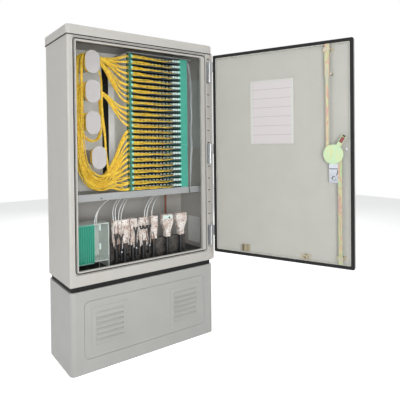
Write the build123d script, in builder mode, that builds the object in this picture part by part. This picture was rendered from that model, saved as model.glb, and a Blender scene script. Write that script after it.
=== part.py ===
from build123d import *
import os
from math import atan2, cos, degrees, hypot, pi, radians, sin, sqrt, tan

# Outdoor fibre cross-connect cabinet on a plinth, door held open.
# Millimetres. Origin: centre of the footprint on the ground. +Z up, front towards -Y.

# Driving sizes of the shell
body_width = 735.0
body_depth = 287.0
plinth_height = 346.5
seal_height = 22.5
body_height = 1041.0
roof_height = 40.0
roof_overhang_side = 4.5
roof_overhang_front = 5.0
roof_corner_radius = 16.0
roof_edge_radius = 7.0
roof_wall = 6.0
roof_ledge = 16.0
shell_wall = 4.0
shell_corner_radius = 8.0
fit_gap = 0.3

# Door frame: a moulded surround with a drip groove and a sealing lip
frame_depth = 10.0
frame_return = 20.0
frame_left_width = 36.5
frame_right_width = 62.5
frame_sill_height = 62.0
frame_header_height = 26.0
lip_left = 5.0
lip_right = 21.0
lip_ends = 5.0
lip_proud = 2.5
groove_left = 9.0
groove_right = 7.0
groove_top = 15.0
groove_bottom = 11.0
groove_depth = 6.5
land_slot_pitch = 60.0
land_slot_width = 15.0
land_slot_height = 50.0
land_slot_depth = 4.0

# Plinth
plinth_wall = 5.0
plinth_corner_radius = 22.0
plinth_base_flange = 45.0
plinth_base_thickness = 6.0
plinth_top_flange = 20.0
anchor_hole_radius = 7.0
anchor_inset_x = 27.5
anchor_inset_y = 27.5
cover_side_margin = 56.5
cover_height = 244.0
cover_top_margin = 45.5
cover_corner_radius = 24.0
cover_gap = 1.5
cover_thickness = 3.0
cover_ledge = 10.0
vent_centre_inset = 172.5
vent_width = 126.0
vent_height = 138.0
vent_border = 22.0
vent_border_proud = 2.0
vent_slats = 6
vent_slat_thickness = 2.4
vent_slat_reach = 6.0
seal_inset = 8.0
seal_width = 18.0

# Door
door_open_angle = 112.3
door_free_margin = 27.5
door_hinge_margin = 31.5
door_bottom_margin = 46.0
door_top_margin = 15.0
door_thickness = 16.0
door_corner_radius = 6.0
door_seal_gap = 0.5
door_seal_width = 14.0
door_seal_thickness = 8.0
door_lip_width = 4.5
door_lip_height = 6.5
door_field_inset = 45.0
door_field_proud = 1.5
card_width = 213.0
card_height = 297.0
card_thickness = 1.6
card_from_hinge = 201.5
card_below_door_top = 146.0

# Hinges
pin_side_margin = 11.5
pin_stand_off = 6.5
pin_radius = 2.5
pin_clearance = 0.08
knuckle_radius = 5.5
hinge_length = 100.0
hinge_leaf = 3.0
hinge_strap = 2.4
hinge_end_margin = 80.5
hinge_fixed_width = 18.0

# Three-point latch on the door, in door coordinates:
# distance from the hinge edge, height, and distance inwards from the seal face
latch_from_free_edge = 79.6
latch_height = 904.4
latch_disc_radius = 42.0
latch_disc_thickness = 3.0
latch_disc_level = 21.0
latch_turn = 60.0
latch_pin_circle = 26.0
latch_pin_radius = 3.0
latch_pin_lift_error = 1.4
spindle_radius = 5.0
tongue_length = 93.0
tongue_width = 20.0
tongue_thickness = 3.0
rod_level = 13.5
rod_thickness = 3.0
rod_head_height = 17.0
upper_rod_width = 13.0
upper_rod_wide = 20.0
upper_rod_wide_length = 141.0
upper_rod_end_margin = 18.0
lower_rod_width = 16.0
lower_rod_end_margin = 22.0
guide_wall = 2.5
guide_height = 16.0
guide_foot = 11.0
guide_clearance = 0.4
guide_end_margin = 15.0
lock_width = 42.0
lock_length = 80.0
lock_below_latch = 42.4
lock_bridge = 4.0
lock_inner_level = 11.0
lock_cylinder_inset = 16.0
lock_cylinder_radius = 7.0
lock_cam_reach = 18.0
lock_cam_width = 12.0
lock_cam_thickness = 2.0
lock_cam_angle = 45.0
dish_length = 168.0
dish_width = 46.0
dish_thickness = 3.0
lever_length = 90.0
lever_width = 24.0
lever_thickness = 12.0
lever_standoff = 5.0
stay_bracket_from_hinge = 171.0
stay_bracket_above_edge = 38.0
stay_bracket_width = 44.0
stay_bracket_rise = 32.0
stay_bracket_reach = 22.0
stay_catch_from_hinge = 466.0
stay_catch_above_edge = 31.5
stay_catch_width = 46.0
stay_catch_rise = 24.0
stay_catch_reach = 16.0
stay_catch_outer = 11.0
stay_catch_hole = 7.0

# Interior rack
back_plate_y = 66.0
back_plate_thickness = 2.0
back_plate_headroom = 14.0
cable_slot_width = 34.0
cable_slot_from_pivot = 40.0
cable_slot_above_shelf = 29.0
cable_slot_height = 605.0
rack_headroom = 7.0
shelf_thickness = 2.0
shelf_front_y = -90.0
shelf_flange = 30.0
shelf_past_trays = 4.0
shelf_slot_width = 130.0
shelf_slot_depth = 34.0
bracket_gap = 9.0
bracket_depth = 60.0

# Trays: a column of swing-out trays on one upright pivot
tray_count = 24
tray_pitch = 26.4
tray_gap = 0.4
tray_pivot_x = -56.0
tray_pivot_y = -86.0
tray_reach = 313.0
tray_depth = 144.0
tray_front_rim = 4.0
tray_side_margin = 8.0
tray_wall = 2.5
tray_floor = 2.0
tray_rim_height = 6.0
tray_handle_width = 40.0
tray_pivot_radius = 4.0
tray_boss_radius = 8.0
adapter_count = 12
adapter_pitch = 20.2
adapter_width = 11.0
adapter_length = 15.0
adapter_height = 17.0
adapter_angle = 32.0
adapter_first_from_pivot = 30.0
adapter_from_front = 26.0
rack_post_width = 22.0
rack_post_depth = 30.0
rack_post_from_pivot = 96.0
rack_plate_thickness = 2.0
rack_swing_gap = 5.0

# Winding spools, from the top: centre x and centre z
spool_width = 66.0
spool_height = 100.0
spool_flange = 3.0
spool_front_y = -98.0
spool_hub_width = 34.0
spool_hub_height = 66.0
spool_hub_wall = 3.0
spool_column_inset = 123.5
spools_above_shelf = [574.0, 446.0, 311.0, 159.0]
spool_bottom_shift = 25.0

# Lower bay
floor_above_body_bottom = 39.0
floor_thickness = 3.0
splice_side_gap = 47.5
splice_width = 150.0
splice_leg_height = 33.0
splice_height = 167.0
splice_front_y = -78.0
splice_depth = 108.0
splice_wall = 3.0
cassette_count = 8
cassette_pitch = 9.6
cassette_thickness = 8.4
cassette_stand_out = 8.0
rail_from_splice_box = 14.0
rail_past_fixings = 38.0
rail_y = -58.0
rail_height = 92.0
rail_thickness = 3.0
rail_shelf_depth = 20.0
rail_post_width = 4.0
rail_post_height = 107.0
rail_post_step = 30.0
rail_post_foot = 14.0
fixings_from_splice_box = [37.0, 78.0, 119.0, 174.0, 230.0]
fixing_width = 36.0
fixing_foot_width = 28.0
fixing_depth = 26.0
fixing_above_floor = 97.0
fixing_height = 107.0
fixing_neck_share = 0.25
fixing_shoulder_share = 0.62
funnels_from_splice_box = [307.0, 386.0]
funnel_width = 60.0
funnel_foot_width = 27.0
gland_radius = 15.5
gland_height = 22.0
gland_thread_radius = 11.0
gland_sleeve_radius = 9.0
fixing_y = -74.0

# Cords
cord_bundle_diameter = 12.0
loose_tube_diameter = 8.0

# Heights and planes worked out from the sizes above
half_width = body_width / 2
half_depth = body_depth / 2
front_y = -half_depth
body_bottom = plinth_height + seal_height
body_top = body_bottom + body_height
overall_height = body_top + roof_height
inner_half_width = half_width - shell_wall
inner_back_y = half_depth - shell_wall
frame_back_y = front_y + frame_depth
opening_left = -half_width + frame_left_width
opening_right = half_width - frame_right_width
opening_bottom = body_bottom + frame_sill_height
opening_top = body_top - frame_header_height
cover_width = body_width - 2 * cover_side_margin
cover_centre_z = plinth_height - cover_top_margin - cover_height / 2
vent_spacing = 2 * (half_width - vent_centre_inset)

# Places on the door
door_hinge_edge = half_width - door_hinge_margin
door_width = door_hinge_edge + half_width - door_free_margin
door_bottom = body_bottom + door_bottom_margin
door_top = body_top - door_top_margin
door_seal_y = front_y - lip_proud - door_seal_gap
pin_x = half_width - pin_side_margin
pin_y = front_y - pin_stand_off
latch_from_hinge = door_width - latch_from_free_edge
upper_rod_top = door_top - upper_rod_end_margin
upper_rod_wide_from = upper_rod_top - upper_rod_wide_length
lower_rod_bottom = door_bottom + lower_rod_end_margin
lock_top = latch_height - lock_below_latch
lock_bottom = lock_top - lock_length
lock_cylinder_height = lock_bottom + lock_cylinder_inset
card_bottom = door_top - card_below_door_top - card_height
stay_bracket_height = door_bottom + stay_bracket_above_edge
stay_catch_height = door_bottom + stay_catch_above_edge

# Places inside
floor_top = body_bottom + floor_above_body_bottom
shelf_top = opening_top - rack_headroom - tray_count * tray_pitch - tray_gap - rack_plate_thickness
shelf_right_end = tray_pivot_x + tray_reach + shelf_past_trays
bracket_left = shelf_right_end + bracket_gap
back_plate_top = body_top - back_plate_headroom
cable_slot_right = tray_pivot_x - cable_slot_from_pivot
cable_slot_left = cable_slot_right - cable_slot_width
cable_slot_bottom = shelf_top + cable_slot_above_shelf
cable_slot_top = cable_slot_bottom + cable_slot_height
spool_column_x = -inner_half_width + spool_column_inset
spool_centres_z = [shelf_top + rise for rise in spools_above_shelf]
splice_left = -inner_half_width + splice_side_gap
splice_right = splice_left + splice_width
splice_bottom = floor_top + splice_leg_height
splice_top = splice_bottom + splice_height
fixing_centres = [splice_right + step for step in fixings_from_splice_box]
funnel_centres = [splice_right + step for step in funnels_from_splice_box]
fixing_bottom = floor_top + fixing_above_floor
fixing_top = fixing_bottom + fixing_height
rail_left = splice_right + rail_from_splice_box
rail_right = funnel_centres[-1] + rail_past_fixings
rail_top = floor_top + rail_height


def save(part, label):
    """Names a finished piece and writes it to its own file."""
    part.label = label
    export_step(part, f"parts/{label}.step")


def rotate_about_pin(x, y, angle):
    """A plan point of the closed door, turned about the hinge pin."""
    turn = radians(angle)
    dx = x - pin_x
    dy = y - pin_y
    return pin_x + dx * cos(turn) - dy * sin(turn), pin_y + dx * sin(turn) + dy * cos(turn)


door_corner_x, door_corner_y = rotate_about_pin(door_hinge_edge, door_seal_y, door_open_angle)
door_turn = radians(door_open_angle)
door_plane = Plane(
    origin=(door_corner_x, door_corner_y, 0),
    x_dir=(-cos(door_turn), -sin(door_turn), 0),
    z_dir=(-sin(door_turn), cos(door_turn), 0),
)
pin_plane = Plane(origin=(pin_x, pin_y, 0), x_dir=(cos(door_turn), sin(door_turn), 0), z_dir=(0, 0, 1))
fixed_pin_plane = Plane(origin=(pin_x, pin_y, 0))


def front_plane(y):
    """Upright plane across the cabinet at depth y: local x is X, local y is Z, normal is -Y."""
    return Plane(origin=(0, y, 0), x_dir=(1, 0, 0), z_dir=(0, -1, 0))


def side_plane(x):
    """Upright plane along the depth at x: local x is Y, local y is Z, normal is +X."""
    return Plane(origin=(x, 0, 0), x_dir=(0, 1, 0), z_dir=(1, 0, 0))


def span(low, high):
    """Middle and length of a stretch."""
    return (low + high) / 2, high - low


def box_between(x_range, y_range, z_range, mode=Mode.ADD):
    """A block between six faces, added to the part being built."""
    x_mid, x_size = span(*x_range)
    y_mid, y_size = span(*y_range)
    with Locations((x_mid, y_mid, z_range[0])):
        Box(
            x_size,
            y_size,
            z_range[1] - z_range[0],
            align=(Align.CENTER, Align.CENTER, Align.MIN),
            mode=mode,
        )


def rectangle_between(x_range, y_range, mode=Mode.ADD, radius=0.0):
    """A rectangle between four lines, in the sketch being drawn."""
    x_mid, x_size = span(*x_range)
    y_mid, y_size = span(*y_range)
    with Locations((x_mid, y_mid)):
        if radius > 0:
            RectangleRounded(x_size, y_size, radius, mode=mode)
        else:
            Rectangle(x_size, y_size, mode=mode)


# Plinth: one moulded ring with flanges and a front hole for its cover
with BuildPart() as plinth:
    with BuildSketch(Plane.XY):
        RectangleRounded(body_width, body_depth, plinth_corner_radius)
    extrude(amount=plinth_height)
    with BuildSketch(Plane.XY.offset(plinth_base_thickness)):
        RectangleRounded(
            body_width - 2 * plinth_wall,
            body_depth - 2 * plinth_wall,
            plinth_corner_radius - plinth_wall,
        )
    extrude(amount=plinth_height - plinth_base_thickness - plinth_wall, mode=Mode.SUBTRACT)
    with BuildSketch(Plane.XY):
        RectangleRounded(
            body_width - 2 * (plinth_wall + plinth_base_flange),
            body_depth - 2 * (plinth_wall + plinth_base_flange),
            plinth_corner_radius,
        )
    extrude(amount=plinth_base_thickness, mode=Mode.SUBTRACT)
    with BuildSketch(Plane.XY.offset(plinth_height - plinth_wall)):
        RectangleRounded(
            body_width - 2 * (plinth_wall + plinth_top_flange),
            body_depth - 2 * (plinth_wall + plinth_top_flange),
            plinth_corner_radius,
        )
    extrude(amount=plinth_wall, mode=Mode.SUBTRACT)
    with BuildSketch(front_plane(front_y)):
        with Locations((0, cover_centre_z)):
            RectangleRounded(cover_width, cover_height, cover_corner_radius)
    extrude(amount=-cover_thickness, mode=Mode.SUBTRACT)
    with BuildSketch(front_plane(front_y)):
        with Locations((0, cover_centre_z)):
            RectangleRounded(
                cover_width - 2 * cover_ledge,
                cover_height - 2 * cover_ledge,
                cover_corner_radius - cover_ledge,
            )
    extrude(amount=-plinth_wall, mode=Mode.SUBTRACT)
    with BuildSketch(Plane.XY):
        with GridLocations(body_width - 2 * anchor_inset_x, body_depth - 2 * anchor_inset_y, 2, 2):
            Circle(anchor_hole_radius)
    extrude(amount=plinth_base_thickness, mode=Mode.SUBTRACT)
save(plinth.part, "plinth")


def vent_slat_points(slat_bottom, pitch):
    """Section of one louvre slat, leaning out towards its lower edge."""
    inner_y = front_y + cover_thickness
    outer_y = front_y - vent_slat_reach
    slat_top = slat_bottom + pitch - vent_slat_thickness / 2
    return [
        (inner_y, slat_top),
        (outer_y, slat_bottom + vent_slat_thickness * 2),
        (outer_y, slat_bottom + vent_slat_thickness),
        (outer_y + vent_slat_thickness, slat_bottom + vent_slat_thickness),
        (inner_y, slat_top - vent_slat_thickness * 2),
    ]


# Removable front cover of the plinth, with two louvred vents moulded in
vent_bottom = cover_centre_z - vent_height / 2
with BuildPart() as plinth_front_cover:
    with BuildSketch(front_plane(front_y + cover_thickness)):
        with Locations((0, cover_centre_z)):
            RectangleRounded(
                cover_width - 2 * cover_gap,
                cover_height - 2 * cover_gap,
                cover_corner_radius - cover_gap,
            )
    extrude(amount=cover_thickness)
    with BuildSketch(front_plane(front_y)):
        with Locations((-vent_spacing / 2, cover_centre_z), (vent_spacing / 2, cover_centre_z)):
            Rectangle(vent_width + 2 * vent_border, vent_height + 2 * vent_border)
    extrude(amount=vent_border_proud, taper=30)
    with BuildSketch(front_plane(front_y - vent_border_proud)):
        with Locations((-vent_spacing / 2, cover_centre_z), (vent_spacing / 2, cover_centre_z)):
            Rectangle(vent_width, vent_height)
    extrude(amount=-(cover_thickness + vent_border_proud), mode=Mode.SUBTRACT)
    slat_pitch = vent_height / vent_slats
    for vent_x in (-vent_spacing / 2, vent_spacing / 2):
        with BuildSketch(side_plane(vent_x - vent_width / 2 - vent_slat_thickness)):
            for slat in range(vent_slats):
                Polygon(*vent_slat_points(vent_bottom + slat * slat_pitch, slat_pitch), align=None)
        extrude(amount=vent_width + 2 * vent_slat_thickness)
save(plinth_front_cover.part, "plinth_front_cover")

# Black seal between the plinth and the body
with BuildPart() as plinth_seal:
    with BuildSketch(Plane.XY.offset(plinth_height)):
        RectangleRounded(
            body_width - 2 * seal_inset,
            body_depth - 2 * seal_inset,
            plinth_corner_radius - seal_inset,
        )
        Rectangle(
            body_width - 2 * (seal_inset + seal_width),
            body_depth - 2 * (seal_inset + seal_width),
            mode=Mode.SUBTRACT,
        )
    extrude(amount=seal_height)
save(plinth_seal.part, "plinth_seal")


def side_panel(side):
    """Side wall with a rounded rear corner and a rear return; side is -1 left, +1 right."""
    with BuildPart() as panel:
        with BuildSketch(Plane.XY.offset(body_bottom)) as outline:
            rectangle_between(
                sorted((side * inner_half_width, side * half_width)),
                (frame_back_y + frame_return, half_depth),
            )
            rectangle_between(
                sorted((side * (half_width - frame_return), side * half_width)),
                (inner_back_y, half_depth),
            )
            rear = outline.vertices().filter_by(lambda v: abs(v.X) > half_width - 1 and v.Y > inner_back_y + 1)
            fillet(rear, shell_corner_radius)
        extrude(amount=body_height)
    return panel.part


save(side_panel(-1), "left_side_panel")
save(side_panel(1), "right_side_panel")

# Rear wall between the side walls' returns
with BuildPart() as back_panel:
    box_between(
        (-half_width + frame_return, half_width - frame_return),
        (inner_back_y, half_depth),
        (body_bottom, body_top),
    )
save(back_panel.part, "back_panel")

# Roof cap: hollow underneath, resting on the tops of the walls
with BuildPart() as roof:
    with BuildSketch(Plane.XY.offset(body_top)):
        RectangleRounded(
            body_width + 2 * roof_overhang_side,
            body_depth + 2 * roof_overhang_front,
            roof_corner_radius,
        )
    extrude(amount=roof_height)
    fillet(roof.faces().sort_by(Axis.Z)[-1].edges(), roof_edge_radius)
    with BuildSketch(Plane.XY.offset(body_top)):
        Rectangle(body_width - 2 * roof_ledge, body_depth - 2 * roof_ledge)
    extrude(amount=roof_height - roof_wall, mode=Mode.SUBTRACT)
save(roof.part, "roof")


def frame_member(x_range, z_range, outer_side):
    """One length of the door frame, cut from the whole surround.

    outer_side is -1 or +1 for the posts, which turn back along the side wall, and 0 for the rest.
    """
    lip_x = (opening_left - lip_left, opening_right + lip_right)
    lip_z = (opening_bottom - lip_ends, opening_top + lip_ends)
    groove_x = (lip_x[0] - groove_left, lip_x[1] + groove_right)
    groove_z = (lip_z[0] - groove_bottom, lip_z[1] + groove_top)
    with BuildPart() as member:
        with BuildSketch(front_plane(front_y)):
            rectangle_between((-half_width, half_width), (body_bottom, body_top))
            rectangle_between((opening_left, opening_right), (opening_bottom, opening_top), Mode.SUBTRACT)
        extrude(amount=-frame_depth)
        with BuildSketch(front_plane(front_y)):
            rectangle_between(groove_x, groove_z, radius=shell_corner_radius)
            rectangle_between(lip_x, lip_z, Mode.SUBTRACT, shell_corner_radius)
        extrude(amount=-groove_depth, mode=Mode.SUBTRACT)
        with BuildSketch(front_plane(front_y)):
            rectangle_between(lip_x, lip_z, radius=shell_corner_radius)
            rectangle_between((opening_left, opening_right), (opening_bottom, opening_top), Mode.SUBTRACT)
        extrude(amount=lip_proud)
        if outer_side:
            box_between(
                sorted((outer_side * inner_half_width, outer_side * half_width)),
                (frame_back_y, frame_back_y + frame_return),
                (body_bottom, body_top),
            )
        if outer_side > 0:
            land_middle = (groove_x[1] + half_width) / 2
            slot_count = int((groove_z[1] - groove_z[0]) / land_slot_pitch)
            with BuildSketch(front_plane(front_y)):
                with Locations((land_middle, (groove_z[0] + groove_z[1]) / 2)):
                    with GridLocations(land_slot_width, land_slot_pitch, 1, slot_count):
                        Rectangle(land_slot_width, land_slot_height)
            extrude(amount=-land_slot_depth, mode=Mode.SUBTRACT)
        box_between(
            x_range,
            (front_y - lip_proud, frame_back_y + frame_return),
            z_range,
            Mode.INTERSECT,
        )
        if outer_side:
            corner = (
                member.edges()
                .filter_by(Axis.Z)
                .filter_by(lambda e: abs(e.center().X) > half_width - 1 and e.center().Y < front_y + 1)
            )
            fillet(corner, shell_corner_radius)
    return member.part


save(frame_member((-half_width, opening_left), (body_bottom, body_top), -1), "frame_post_left")
save(frame_member((opening_right, half_width), (body_bottom, body_top), 1), "frame_post_right")
save(frame_member((opening_left, opening_right), (opening_top, body_top), 0), "frame_header")
save(frame_member((opening_left, opening_right), (body_bottom, opening_bottom), 0), "frame_sill")

# Black floor plate with holes for the cable glands
gland_x = fixing_centres + funnel_centres
with BuildPart() as floor_plate:
    box_between(
        (-inner_half_width, inner_half_width),
        (frame_back_y, inner_back_y),
        (floor_top - floor_thickness, floor_top),
    )
    with BuildSketch(Plane.XY.offset(floor_top)):
        with Locations(*[(x, fixing_y) for x in gland_x]):
            Circle(gland_thread_radius)
    extrude(amount=-floor_thickness, mode=Mode.SUBTRACT)
save(floor_plate.part, "floor_plate")

# Upright plate behind the spools and trays, with a slot for cables from the rear
with BuildPart() as rack_back_plate:
    box_between(
        (-inner_half_width, inner_half_width),
        (back_plate_y, back_plate_y + back_plate_thickness),
        (shelf_top - shelf_flange, back_plate_top),
    )
    box_between(
        (cable_slot_left, cable_slot_right),
        (back_plate_y, back_plate_y + back_plate_thickness),
        (cable_slot_bottom, cable_slot_top),
        Mode.SUBTRACT,
    )
save(rack_back_plate.part, "rack_back_plate")

# Shelf under the trays: a folded channel with slots for the loose tubes
shelf_slot_middle = back_plate_y - shelf_slot_depth
shelf_slot_first = fixing_centres[2] - 23.0
shelf_slot_second = fixing_centres[4] + 76.0
with BuildPart() as mid_shelf:
    shelf_x = (-inner_half_width, shelf_right_end)
    box_between(shelf_x, (shelf_front_y, back_plate_y), (shelf_top - shelf_thickness, shelf_top))
    box_between(
        shelf_x,
        (shelf_front_y, shelf_front_y + shelf_thickness),
        (shelf_top - shelf_flange, shelf_top),
    )
    box_between(shelf_x, (back_plate_y - shelf_thickness, back_plate_y), (shelf_top - shelf_flange, shelf_top))
    with BuildSketch(Plane.XY.offset(shelf_top)):
        with Locations((shelf_slot_first, shelf_slot_middle), (shelf_slot_second, shelf_slot_middle)):
            SlotOverall(shelf_slot_width, shelf_slot_depth)
    extrude(amount=-shelf_thickness, mode=Mode.SUBTRACT)
save(mid_shelf.part, "mid_shelf")

# Folded bracket that carries on the shelf's line to the right wall
with BuildPart() as shelf_bracket:
    box_between(
        (bracket_left, inner_half_width),
        (shelf_front_y, shelf_front_y + bracket_depth),
        (shelf_top - shelf_flange, shelf_top),
    )
    box_between(
        (bracket_left, inner_half_width - shelf_thickness),
        (shelf_front_y + shelf_thickness, shelf_front_y + bracket_depth),
        (shelf_top - shelf_flange + shelf_thickness, shelf_top - shelf_thickness),
        Mode.SUBTRACT,
    )
save(shelf_bracket.part, "shelf_bracket")

# Tray rack: top plate, pivot rod and rear post, welded into one frame
rack_bottom = shelf_top
rack_top = rack_bottom + tray_count * tray_pitch + tray_gap + rack_plate_thickness
post_left = tray_pivot_x + tray_reach + rack_swing_gap
rack_post_y = tray_pivot_y + rack_post_from_pivot
with BuildPart() as tray_rack:
    box_between(
        (tray_pivot_x - 2 * tray_boss_radius, post_left + rack_post_width),
        (tray_pivot_y - tray_boss_radius, back_plate_y),
        (rack_top, rack_top + rack_plate_thickness),
    )
    with BuildSketch(Plane.XY.offset(rack_bottom)):
        with Locations((tray_pivot_x, tray_pivot_y)):
            Circle(tray_pivot_radius)
    extrude(amount=rack_top - rack_bottom)
    box_between(
        (post_left, post_left + rack_post_width),
        (rack_post_y, rack_post_y + rack_post_depth),
        (rack_bottom, rack_top),
    )
    box_between(
        (post_left + rack_plate_thickness, post_left + rack_post_width),
        (rack_post_y + rack_plate_thickness, rack_post_y + rack_post_depth),
        (rack_bottom, rack_top),
        Mode.SUBTRACT,
    )
    box_between(
        (post_left, post_left + rack_plate_thickness),
        (rack_post_y + rack_post_depth, back_plate_y),
        (rack_bottom, rack_top),
    )
    box_between(
        (post_left - rack_post_width, post_left + rack_plate_thickness),
        (tray_pivot_y + tray_depth + rack_swing_gap, back_plate_y),
        (rack_bottom, rack_bottom + rack_plate_thickness),
    )
save(tray_rack.part, "tray_rack")


# Plan of a tray: straight front and back, right end an arc about the pivot
tray_front = tray_pivot_y - tray_front_rim
tray_back = tray_pivot_y + tray_depth
tray_left = tray_pivot_x - tray_side_margin
arc_front_x = tray_pivot_x + sqrt(tray_reach**2 - tray_front_rim**2)
arc_back_x = tray_pivot_x + sqrt(tray_reach**2 - tray_depth**2)
arc_middle = atan2(tray_depth, arc_back_x - tray_pivot_x) / 2
adapter_first_x = tray_pivot_x + adapter_first_from_pivot
with BuildSketch() as tray_plan:
    with BuildLine():
        Polyline((arc_back_x, tray_back), (tray_left, tray_back), (tray_left, tray_front), (arc_front_x, tray_front))
        ThreePointArc(
            (arc_front_x, tray_front),
            (tray_pivot_x + tray_reach * cos(arc_middle), tray_pivot_y + tray_reach * sin(arc_middle)),
            (arc_back_x, tray_back),
        )
    make_face()


def tray(number):
    """One swing-out tray, number 0 at the bottom, with its row of adapters and its pivot boss."""
    bottom = shelf_top + tray_gap + number * tray_pitch
    height = tray_pitch - tray_gap
    handle_left = tray_pivot_x + tray_reach - tray_handle_width
    with BuildPart() as piece:
        with BuildSketch(Plane.XY.offset(bottom)):
            add(tray_plan.sketch)
        extrude(amount=height)
        with BuildSketch(Plane.XY.offset(bottom + tray_floor)):
            add(tray_plan.sketch)
            offset(amount=-tray_wall, kind=Kind.INTERSECTION, mode=Mode.REPLACE)
            rectangle_between(
                (handle_left, handle_left + tray_reach),
                (tray_front, tray_pivot_y + tray_handle_width),
                Mode.SUBTRACT,
            )
        extrude(amount=height, mode=Mode.SUBTRACT)
        box_between(
            (tray_pivot_x + tray_boss_radius, handle_left),
            (tray_front - tray_wall, tray_front + tray_wall),
            (bottom + tray_rim_height, bottom + height),
            Mode.SUBTRACT,
        )
        with BuildSketch(Plane.XY.offset(bottom)):
            for place in range(adapter_count):
                with Locations((adapter_first_x + place * adapter_pitch, tray_front + adapter_from_front)):
                    Rectangle(adapter_width, adapter_length, rotation=-adapter_angle)
        extrude(amount=tray_floor + adapter_height)
        with BuildSketch(Plane.XY.offset(bottom)):
            with Locations((tray_pivot_x, tray_pivot_y)):
                Circle(tray_boss_radius)
        extrude(amount=height)
        with BuildSketch(Plane.XY.offset(bottom)):
            with Locations((tray_pivot_x, tray_pivot_y)):
                Circle(tray_pivot_radius + pin_clearance)
        extrude(amount=height, mode=Mode.SUBTRACT)
    return piece.part


for tray_number in range(tray_count):
    save(tray(tray_number), f"tray_{tray_count - tray_number:02d}")

# Winding spools on the plate: front flange, hollow hub and rear flange
with BuildPart() as winding_spools:
    for spool_number, spool_z in enumerate(spool_centres_z):
        shift = spool_bottom_shift if spool_number == len(spool_centres_z) - 1 else 0.0
        centre = (spool_column_x + shift, spool_z)
        with BuildSketch(front_plane(spool_front_y + spool_flange)):
            with Locations(centre):
                SlotOverall(spool_height, spool_width, rotation=90)
        extrude(amount=spool_flange)
        with BuildSketch(front_plane(back_plate_y)):
            with Locations(centre):
                SlotOverall(spool_hub_height, spool_hub_width, rotation=90)
                SlotOverall(
                    spool_hub_height - 2 * spool_hub_wall,
                    spool_hub_width - 2 * spool_hub_wall,
                    rotation=90,
                    mode=Mode.SUBTRACT,
                )
        extrude(amount=back_plate_y - spool_front_y - spool_flange)
save(winding_spools.part, "winding_spools")

# Splice box: open-fronted case on two legs, with a shelf of upright cassettes
with BuildPart() as splice_box:
    splice_back = splice_front_y + splice_depth
    box_between((splice_left, splice_right), (splice_front_y, splice_back), (splice_bottom, splice_top))
    box_between(
        (splice_left + splice_wall, splice_right - splice_wall),
        (splice_front_y, splice_back - splice_wall),
        (splice_bottom + splice_wall, splice_top - splice_wall),
        Mode.SUBTRACT,
    )
    cassette_bay = splice_left + splice_wall + cassette_count * cassette_pitch + fit_gap
    box_between(
        (cassette_bay, cassette_bay + splice_wall),
        (splice_front_y, splice_back),
        (splice_bottom, splice_top),
    )
    for leg_x in (splice_left, splice_right - splice_wall):
        box_between(
            (leg_x, leg_x + splice_wall),
            (splice_front_y, splice_back),
            (floor_top, splice_bottom),
        )
save(splice_box.part, "splice_box")

# Splice cassettes standing in the box, each a thin case with a finger tab
with BuildPart() as splice_cassettes:
    for slot in range(cassette_count):
        left = splice_left + splice_wall + fit_gap + slot * cassette_pitch
        box_between(
            (left, left + cassette_thickness),
            (splice_front_y - cassette_stand_out, splice_back - splice_wall - fit_gap),
            (splice_bottom + splice_wall, splice_top - splice_wall - fit_gap),
        )
save(splice_cassettes.part, "splice_cassettes")

# Black rail behind the cable fixings, with forked posts between them
with BuildPart() as clamp_rail:
    box_between((rail_left, rail_right), (rail_y, rail_y + rail_thickness), (floor_top, rail_top))
    box_between(
        (rail_left, rail_right),
        (rail_y, rail_y + rail_shelf_depth),
        (rail_top - rail_thickness, rail_top),
    )
    post_front = fixing_y - fixing_depth / 2
    for left_fixing, right_fixing in zip(fixing_centres[:-1], fixing_centres[1:]):
        post_x = (left_fixing + right_fixing) / 2
        post_sides = (post_x - rail_post_width / 2, post_x + rail_post_width / 2)
        post_foot = floor_top + rail_post_step
        box_between(post_sides, (post_front, rail_y), (post_foot, post_foot + rail_post_foot))
        box_between(
            post_sides,
            (post_front, post_front + rail_thickness),
            (post_foot, post_foot + rail_post_height),
        )
save(clamp_rail.part, "clamp_rail")


def fixing_points(centre, top_width, foot_width):
    """Front view of a cable fixing: wide head, narrow foot."""
    neck = fixing_bottom + fixing_height * fixing_neck_share
    shoulder = fixing_bottom + fixing_height * fixing_shoulder_share
    return [
        (centre - foot_width / 2, fixing_bottom),
        (centre + foot_width / 2, fixing_bottom),
        (centre + foot_width / 2, neck),
        (centre + top_width / 2, shoulder),
        (centre + top_width / 2, fixing_top),
        (centre - top_width / 2, fixing_top),
        (centre - top_width / 2, shoulder),
        (centre - foot_width / 2, neck),
    ]


# Cable fixings: moulded heads that grip a cable and let its loose tubes out at the top
with BuildPart() as cable_fixings:
    with BuildSketch(front_plane(rail_y)):
        for centre in fixing_centres:
            Polygon(*fixing_points(centre, fixing_width, fixing_foot_width), align=None)
        for centre in funnel_centres:
            Polygon(*fixing_points(centre, funnel_width, funnel_foot_width), align=None)
    extrude(amount=fixing_depth)
save(cable_fixings.part, "cable_fixings")

# Cable glands in the floor, each with a sleeve up to its fixing
with BuildPart() as cable_glands:
    for centre in gland_x:
        with BuildSketch(Plane.XY.offset(floor_top)):
            with Locations((centre, fixing_y)):
                RegularPolygon(gland_radius, 8)
        extrude(amount=gland_height)
        with BuildSketch(Plane.XY.offset(floor_top + gland_height)):
            with Locations((centre, fixing_y)):
                Circle(gland_sleeve_radius)
        extrude(amount=fixing_bottom - floor_top - gland_height)
        with BuildSketch(Plane.XY.offset(floor_top)):
            with Locations((centre, fixing_y)):
                Circle(gland_thread_radius)
        extrude(amount=-gland_height / 2)
save(cable_glands.part, "cable_glands")


def route_radii(points):
    """Largest radius for each corner of a route that its two runs allow."""
    radii = []
    for before, here, after in zip(points[:-2], points[1:-1], points[2:]):
        run_in = Vector(*here) - Vector(*before)
        run_out = Vector(*after) - Vector(*here)
        turn = radians(run_in.get_angle(run_out))
        radii.append(0.45 * min(run_in.length, run_out.length) / tan(turn / 2))
    return radii


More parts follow.
